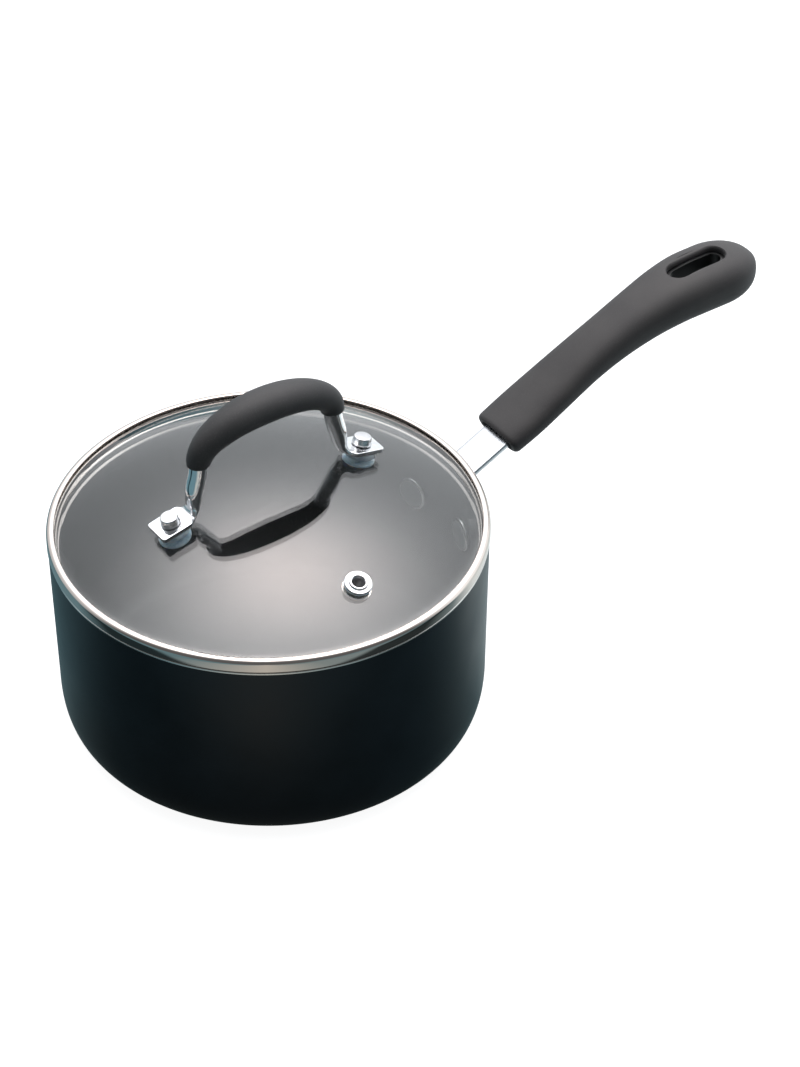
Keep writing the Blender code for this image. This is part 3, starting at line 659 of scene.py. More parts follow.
# Stainless steel strip, brushed along its length: satin. The lines are about 0.05 mm apart and are
# drawn at 0.3 mm so that they show
BRUSHING = (0.3, 2.0, (0.02, 1, 1))
STRAP_STEEL = patterned(
    "brushed stainless steel strap", BRUSHING, (0.20, 0.32), (BRUSHING, 0.003),
    Base_Color=linear("#d6d8dc"), Metallic=1.0,
)
# Bright chrome over drawn steel tube: a mirror, with the lengthwise creases of pressed tube
CHROME = patterned(
    "bright chrome plate", (5, 1.0), (0.02, 0.05), ((5, 1.0), 0.02), ((1.6, 1.0, (1, 1, 0.12)), 0.10),
    Base_Color=linear("#e8eaec"), Metallic=1.0,
)
# Nickel plate on tumbled steel rivets and eyelets: bright, softly blurred
NICKEL = patterned(
    "satin nickel plate", (1.5, 2.0), (0.16, 0.28), ((1.5, 2.0), 0.012),
    Base_Color=linear("#dddddf"), Metallic=1.0,
)
RIVET = rivet_coating()
GRIP_RUBBER = soft_touch("charcoal soft-touch rubber grip", "#444343", "#3b3a3b", 0.45, 0.03)
SLEEVE_RUBBER = soft_touch("charcoal soft-touch rubber sleeve", "#3d3d3e", "#343536", 0.55, 0.05)
# Black glass-filled nylon, moulded: half dull, with a faint flow pattern
NYLON = patterned(
    "moulded black nylon", (4, 2.0, (0.4, 1, 1)), (0.34, 0.46), ((0.5, 2.0), 0.01),
    tones=("#121314", "#1b1d1e"),
    Specular_IOR_Level=0.5,
)
GLASS = tempered_glass()
# Clear silicone rubber, moulded: milky, softly glossy, bluish where it is thick
SILICONE = patterned(
    "pale silicone rubber", (3, 2.0), (0.24, 0.34),
    tones=("#bccddd", "#d6e2ec"),
    Specular_IOR_Level=0.5,
    Transmission_Weight=0.08,
    IOR=1.41,
    Subsurface_Weight=0.5,
    Subsurface_Radius=(0.002, 0.003, 0.004),
    Subsurface_Scale=0.5,
)


# ---- repeats

def copies_tree():
    """Geometry Nodes that turn copies of a piece about Z, a set angle apart."""
    tree = bpy.data.node_groups.new("copies around the axis", "GeometryNodeTree")
    for name, kind in (
        ("Geometry", "Geometry"),
        ("Copies", "Int"),
        ("First angle", "Float"),
        ("Step angle", "Float"),
        ("Material", "Material"),
    ):
        tree.interface.new_socket(name, in_out="INPUT", socket_type=f"NodeSocket{kind}")
    tree.interface.new_socket("Geometry", in_out="OUTPUT", socket_type="NodeSocketGeometry")
    given = node(tree, "NodeGroupInput").outputs
    points = node(tree, "GeometryNodeMeshLine", {
        "Count": given["Copies"], "Offset": (0, 0, 0),
    }).outputs["Mesh"]
    index = node(tree, "GeometryNodeInputIndex").outputs["Index"]
    turn = maths(tree, "MULTIPLY_ADD", index, given["Step angle"], given["First angle"])
    rotation = node(tree, "ShaderNodeCombineXYZ", {"Z": turn}).outputs["Vector"]
    copies = node(tree, "GeometryNodeInstanceOnPoints", {
        "Points": points, "Instance": given["Geometry"], "Rotation": rotation,
    }).outputs["Instances"]
    real = node(tree, "GeometryNodeRealizeInstances", {"Geometry": copies}).outputs["Geometry"]
    dressed = node(tree, "GeometryNodeSetMaterial", {
        "Geometry": real, "Material": given["Material"],
    }).outputs["Geometry"]
    node(tree, "NodeGroupOutput", {"Geometry": dressed})
    return tree


COPIES = copies_tree()


def pair(obj, first_angle, step_angle, material):
    """Two copies of the piece about Z, in one mesh."""
    modifier = obj.modifiers.new("copies", "NODES")
    modifier.node_group = COPIES
    values = {
        "Copies": 2, "First angle": first_angle, "Step angle": step_angle, "Material": material,
    }
    for socket in COPIES.interface.items_tree:
        if socket.in_out == "INPUT" and socket.name in values:
            modifier[socket.identifier] = values[socket.name]
    settle(obj)
    return obj


# ---- pan

def wall_radius(height):
    return RIM_RADIUS - (PAN_HEIGHT - height) * math.tan(WALL_TAPER)


def pan_corner(flat_radius, width, floor, height):
    """The curve from the flat base up to the wall."""
    curve = []
    for angle in quarter_turn(28):
        outward = width * sin(angle) ** (2 / CORNER_POWER)
        upward = height * (1 - cos(angle) ** (2 / CORNER_POWER))
        curve.append((flat_radius + outward, floor + upward))
    return curve


def rivet_holes(radius, length):
    """Holes for both pan rivets, with their middles at this radius."""
    return [
        (PAN_RIVET_SHANK + GAP / 2, length, turned_out(angle, radius, PAN_RIVET_HEIGHT, pi / 2))
        for angle in (PAN_RIVET_ANGLE, -PAN_RIVET_ANGLE)
    ]


def make_pan():
    flat_radius = wall_radius(CORNER_HEIGHT) - CORNER_WIDTH
    inner_wall = RIM_RADIUS - PAN_WALL
    inside = [(0, BASE_THICKNESS)] + pan_corner(
        flat_radius, CORNER_WIDTH - PAN_WALL, BASE_THICKNESS, CORNER_HEIGHT - BASE_THICKNESS
    )
    lip = filleted((
        (inner_wall, PAN_HEIGHT - 0.002, 0),
        (inner_wall, PAN_HEIGHT, LIP_ROUND),
        (RIM_RADIUS, PAN_HEIGHT, LIP_ROUND),
        (wall_radius(PAN_HEIGHT - BARE_LIP), PAN_HEIGHT - BARE_LIP, 0),
    ))
    outside = pan_corner(flat_radius, CORNER_WIDTH, 0, CORNER_HEIGHT)[::-1]
    base = []
    for groove in range(BASE_GROOVES):
        middle = flat_radius * (0.93 - 0.09 * groove)
        for across, depth in ((0.0009, 0), (0.0004, 1), (-0.0004, 1), (-0.0009, 0)):
            base.append((middle + across, depth * BASE_GROOVE_DEPTH))
    outline = inside + [tuple(point) for point in lip] + outside + base + [(0, 0)]
    lip_start = len(inside)
    lip_end = lip_start + len(lip) - 1
    shape = lathe(outline, ROUND_STEPS, marks=((0, 0), (lip_start, 1), (lip_end, 2)))
    pan = piece("pan", shape, INSIDE, ALUMINIUM, OUTSIDE)
    drill(pan, *rivet_holes(RIM_RADIUS - PAN_WALL / 2, 8 * PAN_WALL))
    hand_in(pan, "pan", "pan_coating", "pan_body")


def make_pan_rivets():
    """Each runs from its flat head in the pan, through wall and bracket, to its domed tail."""
    inner_radius = wall_radius(PAN_RIVET_HEIGHT) - PAN_WALL
    seat = -(PAN_RIVET_HEAD**2 / (2 * inner_radius) + GAP)
    head = seat - PAN_RIVET_HEAD_HEIGHT
    tail_seat = PAN_WALL + GAP + BRACKET_SHEET + GAP
    tail = tail_seat + PAN_RIVET_TAIL_HEIGHT
    outline = filleted((
        (0, tail, 0),
        (0.62 * PAN_RIVET_TAIL, tail, 0.0040),
        (PAN_RIVET_TAIL, tail_seat + 0.0008, 0.0006),
        (PAN_RIVET_TAIL, tail_seat, 0.0001),
        (PAN_RIVET_SHANK, tail_seat, 0),
        (PAN_RIVET_SHANK, seat, 0),
        (PAN_RIVET_HEAD, seat, 0.0002),
        (PAN_RIVET_HEAD, head + 0.0004, 0.0004),
        (0.86 * PAN_RIVET_HEAD, head, 0.0012),
        (0, head, 0),
    ), steps=8)
    place = turned_out(0, inner_radius, PAN_RIVET_HEIGHT, pi / 2)
    rivets = piece("pan_rivets", lathe(outline), RIVET, place=place)
    pair(rivets, -PAN_RIVET_ANGLE, 2 * PAN_RIVET_ANGLE, RIVET)
    hand_in(rivets, "pan", "coated_rivet", "pan_rivet_left", "pan_rivet_right")


# ---- pan handle

def grip_station(distance):
    """Centre, slope, half width and half thickness of the grip, this far behind its front."""
    step = 0.0005
    height, half_width, half_height = between(GRIP_STATIONS, distance)
    rise = between(GRIP_STATIONS, distance + step)[0] - between(GRIP_STATIONS, distance - step)[0]
    slope = math.atan2(rise, 2 * step)
    return (GRIP_START + distance, height), slope, half_width, half_height


def grip_section(distance, side_inset, top_inset, forward=0.0, side_share=1.0, top_share=1.0):
    """The grip's section, inset, moved along the grip and then shrunk to these shares of its size."""
    centre, slope, half_width, half_height = grip_station(distance)
    return oval(
        (centre[0] + forward * cos(slope), centre[1] + forward * sin(slope)),
        slope,
        (half_width - side_inset) * side_share,
        (half_height - top_inset) * top_share,
        GRIP_POWER,
    )


def grip_run(side_inset, top_inset, start, tip_inset, spacing):
    """Sections from start to the rounded tip."""
    body_end = GRIP_STATIONS[-1][0]
    count = round((body_end - start) / spacing)
    rings = [
        grip_section(start + (body_end - start) * step / count, side_inset, top_inset)
        for step in range(count + 1)
    ]
    for turn in quarter_turn(22)[1:-1]:
        angle = pi / 2 * sin(turn)
        forward = (GRIP_TIP - tip_inset) * sin(angle)
        shares = (cos(angle), cos(angle) ** TIP_FLATNESS)
        rings.append(grip_section(body_end, side_inset, top_inset, forward, *shares))
    return rings


def slot_cutter(ledge, rounding):
    """The hanging slot, flared where it meets the grip's skin, so that the edge is round."""
    centre, slope, half_width, half_height = grip_station(SLOT_CENTRE)
    along = Vector((cos(slope), 0, sin(slope)))
    up = Vector((-sin(slope), 0, cos(slope)))
    middle = Vector((centre[0], 0, centre[1]))
    # How far each ring stands out from the slot's sides and above the skin
    levels = [(0, 0.004)]
    if rounding:
        levels = [(rounding + 0.0006, 3 * rounding + 0.003)]
        for angle in quarter_turn(7):
            levels.append((rounding * (1 - sin(angle)), -rounding * (1 - cos(angle))))
    rings = []
    for side in (1, -1):
        for outward, above in levels if side == 1 else levels[::-1]:
            ring = []
            half_slot = SLOT_WIDTH / 2 - ledge + outward
            for x, y in rounded_outline(SLOT_LENGTH / 2 - ledge + outward, half_slot, half_slot):
                _, _, wide, thick = grip_station(min(SLOT_CENTRE + x, GRIP_STATIONS[-1][0]))
                skin = thick * (1 - min(abs(y) / wide, 0.99) ** GRIP_POWER) ** (1 / GRIP_POWER)
                ring.append(middle + along * x + Vector((0, y, 0)) + up * side * (skin + above))
            rings.append(ring)
    return piece("slot", loft(rings))


def make_grip():
    """A soft cover: its skin, a rounded mouth, and the hollow that the core fills."""
    mouth = []
    for angle in quarter_turn(8):
        inset = GRIP_NOSE * 0.7 * (1 - sin(angle))
        mouth.append(grip_section(0, 1.4 * inset, inset, GRIP_NOSE * (1 - cos(angle))))
    outer = grip_run(0, 0, GRIP_NOSE + 0.0008, 0, 0.0016)
    hollow = grip_run(COVER_SIDE, COVER_TOP, 0.0012, COVER_SIDE, 0.0035)
    throat = [grip_section(0, COVER_SIDE - 0.0004, COVER_TOP - 0.0005, 0.0003)]
    grip = piece("grip", loft(hollow[::-1] + throat + mouth + outer), GRIP_RUBBER)
    carve(grip, slot_cutter(0, SLOT_ROUND))
    hand_in(grip, "pan", "soft_grip", "handle_grip")


def strap_path():
    """(x, z, half width) from the plate, round the bend and up the strap, to the end of the tang."""
    face = wall_radius(PAN_RIVET_HEIGHT) + GAP + BRACKET_SHEET / 2 + WALL_TAPER * PLATE_HEIGHT
    front, slope, _, _ = grip_station(0)
    front_height = front[1] - STRAP_DROP
    corner = Vector((face, front_height - (GRIP_START - face) * math.tan(slope)))
    start = corner - Vector((0, STRAP_BEND))
    end = corner + STRAP_BEND * Vector((cos(slope), sin(slope)))
    wide = STRAP_WIDTH / 2
    path = [(face, PAN_RIVET_HEIGHT, wide), (face, (PAN_RIVET_HEIGHT + start.y) / 2, wide)]
    bend_steps = 16
    for step in range(bend_steps + 1):
        part = step / bend_steps
        path.append((*start.lerp(corner, part).lerp(corner.lerp(end, part), part), wide))
    path.append(((end.x + GRIP_START) / 2, (end.y + front_height) / 2, wide))
    tang_steps = 10
    for step in range(tang_steps + 1):
        part = step / tang_steps
        centre, _, _, _ = grip_station(TANG_LENGTH * part)
        narrowed = wide + (TANG_WIDTH / 2 - wide) * min(1, max(0, (part - 0.2) / 0.25))
        path.append((centre[0], centre[1] - STRAP_DROP, narrowed))
    return path


def make_bracket():
    """A plate curved to the wall, cut from a turned ring, and the strap that bends out of it."""
    low = PAN_RIVET_HEIGHT - PLATE_HEIGHT
    high = PAN_RIVET_HEIGHT + PLATE_HEIGHT
    ring = [
        (wall_radius(height) + GAP + lift, height)
        for height, lift in ((high, BRACKET_SHEET), (low, BRACKET_SHEET), (low, 0), (high, 0))
    ]
    bracket = piece("bracket", lathe(ring, ROUND_STEPS, closed=True), STRAP_STEEL)
    outline = rounded_outline(PLATE_HEIGHT / 2, PLATE_WIDTH / 2, PLATE_CORNER)
    reach = (RIM_RADIUS / 2, 3 * RIM_RADIUS / 2)
    trim = loft([[Vector((x, y, PAN_RIVET_HEIGHT + z)) for z, y in outline] for x in reach])
    carve(bracket, piece("trim", trim), operation="INTERSECT")
    strap = loft(path_rings([
        (x, z, half_width, BRACKET_SHEET / 2, 9.0) for x, z, half_width in strap_path()
    ], 32))
    carve(bracket, piece("strap", strap), operation="UNION")
    drill(bracket, *rivet_holes(RIM_RADIUS + BRACKET_SHEET, 8 * BRACKET_SHEET))
    hand_in(bracket, "pan", "polished_steel", "handle_bracket")


def make_core():
    """The hard core inside the cover, with the tang's pocket and the slot's inner ledge."""
    rings = grip_run(COVER_SIDE + GAP, COVER_TOP + GAP, CORE_RECESS, COVER_SIDE + GAP, 0.003)
    core = piece("core", loft(rings), NYLON)
    start = GRIP_START - 0.004
    tang = [station for station in strap_path() if station[0] > start]
    end, before = Vector(tang[-1][:2]), Vector(tang[-2][:2])
    beyond = end + (end - before).normalized() * GAP
    pocket = path_rings([
        (x, z, half_width + GAP, BRACKET_SHEET / 2 + GAP, 9.0)
        for x, z, half_width in tang + [(*beyond, TANG_WIDTH / 2)]
    ], 32)
    carve(core, piece("pocket", loft(pocket)), slot_cutter(SLOT_LEDGE, 0))
    hand_in(core, "pan", "hard_plastic", "handle_core")


# ---- lid

def glass_slope(radius):
    """The angle of the glass below level, at this distance from its centre."""
    if radius <= GLASS_BEND:
        return math.asin(radius / GLASS_CURVE)
    part = (radius - GLASS_BEND) / GLASS_EDGE_WIDTH
    return (1 - part) * math.asin(GLASS_BEND / GLASS_CURVE) + part * GLASS_EDGE_SLOPE


def glass_height(radius):
    """The height of the top of the glass, at this distance from its centre."""
    spherical = min(radius, GLASS_BEND)
    drop = GLASS_CURVE - math.sqrt(GLASS_CURVE**2 - spherical**2)
    steps = 8
    for step in range(steps):
        at = GLASS_BEND + (step + 0.5) / steps * (radius - GLASS_BEND)
        drop += math.tan(glass_slope(at)) * max(radius - GLASS_BEND, 0) / steps
    return GLASS_TOP - drop


def glass_place(angle, radius):
    """The place on the glass where a piece's own Z leaves it squarely."""
    return turned_out(angle, radius, glass_height(radius), glass_slope(radius))


def make_glass():
    top, bottom = [], []
    dome_steps, edge_steps = 40, 8
    radii = [GLASS_BEND * step / dome_steps for step in range(dome_steps + 1)]
    edge = GLASS_EDGE_WIDTH - GLASS_EDGE_ROUND
    radii += [GLASS_BEND + edge * step / edge_steps for step in range(1, edge_steps + 1)]
    for radius in radii:
        slope, height = glass_slope(radius), glass_height(radius)
        top.append((radius, height))
        bottom.append((
            radius - GLASS_THICKNESS * sin(slope), height - GLASS_THICKNESS * cos(slope)
        ))
    corner = filleted((
        (*top[-1], 0),
        (GLASS_OUTER, glass_height(GLASS_OUTER), GLASS_EDGE_ROUND),
        (GLASS_OUTER - 0.0002, glass_height(GLASS_OUTER) - GLASS_THICKNESS, GLASS_EDGE_ROUND),
        (*bottom[-1], 0),
    ), steps=6)
    outline = top[:-1] + [tuple(point) for point in corner] + bottom[-2::-1]
    glass = piece("glass", lathe(outline, ROUND_STEPS), GLASS)
    drill(glass, *(
        (radius + GAP, 6 * GLASS_THICKNESS, glass_place(angle, from_centre))
        for radius, angle, from_centre in (
            (SHANK_RADIUS, 0, FOOT_RADIUS),
            (SHANK_RADIUS, pi, FOOT_RADIUS),
            (VENT_BARREL, -pi / 2, VENT_RADIUS),
        )
    ))
    hand_in(glass, "lid", "glass", "lid_glass")


def make_rim():
    """One bent strip: bead on the glass, band around it, seat on the pan, stepped flange inside."""
    outer = BAND_RADIUS - RIM_SHEET / 2
    top = RIM_TOP - RIM_SHEET / 2
    seat = BAND_BOTTOM + RIM_SHEET / 2
    bead = [
        (outer - BEAD + BEAD * cos(angle), top - BEAD + BEAD * sin(angle), 0)
        for angle in quarter_turn(12)[::-1]
    ]
    upper, lower = FLANGE_RADIUS + FLANGE_STEP, FLANGE_RADIUS - FLANGE_STEP
    flange_end = BAND_BOTTOM - FLANGE_DROP
    centre_line = filleted((
        (BAND_RADIUS - LIP_WIDTH, top - LIP_FALL, 0),
        (BAND_RADIUS - LIP_WIDTH + LIP_FALL, top, 0.0003),
        *bead,
        (outer, seat, 0.0004),
        (upper, seat, 0.0006),
        (upper, BAND_BOTTOM - FLANGE_STEP_DROP, 0.0004),
        (lower, BAND_BOTTOM - FLANGE_STEP_DROP - FLANGE_STEP, 0.0004),
        (lower, flange_end + HEM, 0.0006),
        (lower - HEM, flange_end + 0.0003, 0),
    ), steps=5)
    outline = sheet_outline(centre_line, RIM_SHEET)
    rim = piece("rim", lathe(outline, ROUND_STEPS, closed=True), RIM_STEEL)
    hand_in(rim, "lid", "polished_steel", "lid_rim", sharp=math.radians(50))


LEG_TOP = glass_height(FOOT_RADIUS) + LEG_HEIGHT + TAB_TOP


def leg_stations():
    """The lid handle's right half from the end of its flat tab to the top of its leg."""
    slope = glass_slope(FOOT_RADIUS)
    lift = (TAB_BOTTOM + TAB_TOP) / 2
    foot = Vector((
        FOOT_RADIUS + lift * sin(slope),
        glass_height(FOOT_RADIUS) + lift * cos(slope),
    ))
    inward = Vector((-cos(slope), sin(slope)))
    tab_half = TAB_LENGTH / 2
    knee = foot + inward * (tab_half + KNEE_REACH) + Vector((0, KNEE_RISE))
    flat = (TAB_THICKNESS / 2, TAB_POWER)
    tab = []
    for angle in quarter_turn(4):
        at = foot - inward * (tab_half - TAB_CORNER * (1 - cos(angle)))
        tab.append((*at, TAB_WIDTH / 2 - TAB_CORNER * (1 - sin(angle)), *flat))
    neck = [
        (*(foot + inward * distance + Vector((0, rise))), *size)
        for distance, rise, size in (
            (2 * TAB_CORNER - tab_half, 0, (TAB_WIDTH / 2, *flat)),
            (tab_half - 0.0012, 0, (TAB_WIDTH / 2, *flat)),
            (tab_half - 0.0002, 0, (TAB_WIDTH / 2 - 0.0009, TAB_THICKNESS / 2, 9.0)),
            (tab_half + 0.0012, 0.0003, (0.0042, 0.0011, 4.0)),
        )
    ]
    neck += [
        (*knee, 0.97 * TUBE_RADIUS, 0.58 * TUBE_RADIUS, 2.4),
        (LEG_SPREAD + LEG_LEAN, knee[1] + 0.0032, TUBE_RADIUS, 0.80 * TUBE_RADIUS, 2.0),
        (LEG_SPREAD + 0.8 * LEG_LEAN, knee[1] + 0.0075, TUBE_RADIUS, 0.97 * TUBE_RADIUS, 2.0),
        (LEG_SPREAD + 0.3 * LEG_LEAN, LEG_TOP - 0.0055, TUBE_RADIUS, TUBE_RADIUS, 2.0),
    ]
    return tab, neck


def arch_path(steps):
    """The centre line of the arch's right half: a superellipse from the leg to the top."""
    rise = GLASS_TOP + ARCH_HEIGHT - LEG_TOP
    power = 2 / ARCH_POWER
    return [
        (LEG_SPREAD * cos(angle) ** power, LEG_TOP + rise * sin(angle) ** power)
        for angle in quarter_turn(steps)
    ]


def smoothed(stations):
    """Stations read closely from a smooth curve through these ones."""
    spacing = 0.0008
    travelled = [(0.0, *stations[0])]
    for before, after in zip(stations, stations[1:]):
        travelled.append((travelled[-1][0] + math.dist(before[:2], after[:2]), *after))
    count = round(travelled[-1][0] / spacing)
    return [tuple(between(travelled, travelled[-1][0] * step / count)) for step in range(count + 1)]


def make_lid_handle():
    tab, neck = leg_stations()
    tube = [(x, z, TUBE_RADIUS, TUBE_RADIUS, 2.0) for x, z in arch_path(40)]
    half = tab + smoothed(neck + tube[:1])[:-1] + tube
    bar = piece("lid_handle_tube", loft(path_rings(mirrored(half), 48)), CHROME)
    lift = Matrix.Translation((0, 0, TAB_BOTTOM))
    drill(bar, *(
        (SHANK_RADIUS + GAP, 6 * TAB_THICKNESS, glass_place(angle, FOOT_RADIUS) @ lift)
        for angle in (0, pi)
    ))
    hand_in(bar, "lid", "chrome", "lid_handle_bar")


def sleeve_size(x):
    middle = 1 - (x / LEG_SPREAD) ** 2
    return (
        SLEEVE_END[0] + (SLEEVE_MIDDLE[0] - SLEEVE_END[0]) * middle**0.85,
        SLEEVE_END[1] + (SLEEVE_MIDDLE[1] - SLEEVE_END[1]) * middle**0.5,
    )


def make_sleeve():
    """A soft tube along the arch, thickest at the top, with its ends rolled in."""
    arch = arch_path(64)
    bore = TUBE_RADIUS + GAP
    skin = []
    wide, thick = sleeve_size(LEG_SPREAD)
    for angle in quarter_turn(5)[:-1]:
        inset = SLEEVE_END_ROUND * (1 - sin(angle)) * 0.55
        rise = SLEEVE_END_ROUND * (1 - cos(angle))
        skin.append((LEG_SPREAD, LEG_TOP + rise, wide - inset, thick - inset, 2.0))
    for x, z in arch:
        if z > LEG_TOP + SLEEVE_END_ROUND * 1.2:
            skin.append((x, z, *sleeve_size(x), 2.0))
    outer = path_rings(mirrored(skin))
    inner = path_rings(mirrored([(x, z, bore, bore, 2.0) for x, z in arch]))
    sleeve = piece("lid_handle_sleeve_soft", loft(outer + inner[::-1], joined=True), SLEEVE_RUBBER)
    hand_in(sleeve, "lid", "soft_grip", "lid_handle_sleeve", sharp=math.radians(60))


def turned_piece(name, corners, material, slot, nodes, closed=True, steps=5):
    """A piece turned about the vent, or a left and a right about the rivets of the lid handle."""
    shape = lathe(filleted(corners, closed, steps), closed=closed)
    if nodes.startswith("vent"):
        obj = piece(name, shape, material, place=glass_place(-pi / 2, VENT_RADIUS))
        hand_in(obj, "lid", slot, nodes)
    else:
        obj = piece(name, shape, material, place=glass_place(0, FOOT_RADIUS))
        pair(obj, 0, pi, material)
        hand_in(obj, "lid", slot, f"{nodes}_left", f"{nodes}_right")


def washer_corners(inner, outer, bottom, top, fillet):
    return (
        (outer, top, fillet), (outer, bottom, fillet), (inner, bottom, fillet), (inner, top, fillet)
    )


def make_stacks():
    """On each foot: the rivet, and around it the gaskets above and below the glass and the washer."""
    turned_piece("lid_rivets", (
        (0, HEAD_TOP, 0),
        (HEAD_RADIUS - 0.0004, HEAD_TOP, 0.0006),
        (HEAD_RADIUS - 0.00015, HEAD_BOTTOM + 0.0006, 0.0001),
        (HEAD_RADIUS, HEAD_BOTTOM + 0.0005, 0.0001),
        (HEAD_RADIUS, HEAD_BOTTOM, 0.0001),
        (SHANK_RADIUS, HEAD_BOTTOM, 0),
        (SHANK_RADIUS, TAIL_TOP, 0),
        (TAIL_RADIUS, TAIL_TOP, 0.0001),
        (TAIL_RADIUS, TAIL_TOP - 0.0005, 0.0003),
        (0.6 * TAIL_RADIUS, TAIL_BOTTOM, 0.0010),
        (0, TAIL_BOTTOM, 0),
    ), NICKEL, "chrome", "lid_rivet", closed=False)
    for nodes, radius, bottom, top, fillet, material, slot in (
        ("foot_gasket", FOOT_GASKET_RADIUS, GAP, FOOT_GASKET_TOP, 0.0006, SILICONE, "silicone"),
        ("under_gasket", FOOT_GASKET_RADIUS, UNDER_GASKET_BOTTOM, UNDER_GASKET_TOP, 0.0003,
         SILICONE, "silicone"),
        ("under_washer", WASHER_RADIUS, WASHER_BOTTOM, WASHER_TOP, 0.0002,
         RIM_STEEL, "polished_steel"),
    ):
        corners = washer_corners(SHANK_RADIUS + GAP, radius, bottom, top, fillet)
        turned_piece(f"{nodes}s", corners, material, slot, nodes)


def make_vent():
    """A flanged eyelet through the glass, on a thin gasket, clinched over a washer beneath."""
    flange_top = VENT_FLANGE_BOTTOM + VENT_SHEET
    lip = flange_top + VENT_LIP
    washer_bottom = UNDER_GASKET_TOP - VENT_WASHER
    clinch = washer_bottom - GAP
    turned_piece("eyelet", (
        ((VENT_BORE + VENT_BARREL) / 2 - 0.0001, lip, 0.0005),
        (VENT_BARREL - 0.0001, lip - 0.0001, 0.0004),
        (VENT_BARREL + 0.0002, flange_top - 0.0001, 0.0002),
        (VENT_FLANGE, flange_top, 0.00025),
        (VENT_FLANGE, VENT_FLANGE_BOTTOM, 0.0002),
        (VENT_BARREL, VENT_FLANGE_BOTTOM, 0),
        (VENT_BARREL, clinch, 0),
        (VENT_FLANGE - 0.0004, clinch, 0.0002),
        (VENT_FLANGE - 0.0004, clinch - VENT_SHEET, 0.0002),
        (VENT_BORE, clinch - VENT_SHEET, 0.0003),
        (VENT_BORE, flange_top, 0.0006),
    ), NICKEL, "chrome", "vent_eyelet", steps=6)
    for kind, radius, bottom, top, material, slot in (
        ("gasket", VENT_FLANGE + 0.0002, GAP, GAP + VENT_GASKET, SILICONE, "silicone"),
        ("washer", VENT_WASHER_RADIUS, washer_bottom, UNDER_GASKET_TOP, RIM_STEEL, "polished_steel"),
    ):
        corners = washer_corners(VENT_BARREL + GAP, radius, bottom, top, 0.00015)
        turned_piece(f"eyelet_{kind}", corners, material, slot, f"vent_{kind}", steps=4)


for make in (
    make_pan, make_pan_rivets, make_grip, make_bracket, make_core, make_glass, make_rim,
    make_lid_handle, make_sleeve, make_stacks, make_vent,
):
    make()


# ---- floor, light and camera

CAMERA_AIM = Vector((0.4505, 0.6434, -0.6190))
CAMERA_RIGHT = CAMERA_AIM.cross((0, 0, 1)).normalized()
AWAY = CAMERA_RIGHT.cross((0, 0, -1))
FLOOR_RADIUS = 4.0
# The overhead light: where its middle is, its brightness, its half width and how flat its middle is
LAMP_HEIGHT = math.radians(68)
LAMP_BEARING = math.radians(49)
LAMP_BRIGHTNESS = 6.2
LAMP_WIDTH = math.radians(24.2)
LAMP_POWER = 1.83
# The walls of the room: bright behind the pan, more so on the right, and dark behind the camera
ROOM_BRIGHTNESS = 0.86
ROOM_SIDE_CHANGE = 0.35
ROOM_DARK = 0.14
# The table gives this much light of its own where the camera sees it, and a dimmer painted glow to
# the pan
TABLE_GLOW = 0.93
PAINTED_GLOW_ON_PAN = 0.12
# Painted reflections: the colours that the table glows with for mirrors, from left to right, over
# this reach to either side, in metres
PAINTED_BOARD_REACH = 0.30
PAINTED_BOARD_REFLECTIONS = (
    (0.0, "#6b8d97"), (1.0, "#6f8890"), (0.30, "#6b8992"), (0.50, "#cac9c2"), (0.62, "#8b9a9c")
)


def looked_at(tree):
    """1 for what the camera sees directly or through the glass, with no other turn on the way."""
    rays = node(tree, "ShaderNodeLightPath").outputs
    straight = maths(tree, "COMPARE", rays["Ray Depth"], rays["Transmission Depth"], 0.5)
    through = maths(tree, "MULTIPLY", rays["Is Transmission Ray"], straight)
    return maths(tree, "MAXIMUM", rays["Is Camera Ray"], through)


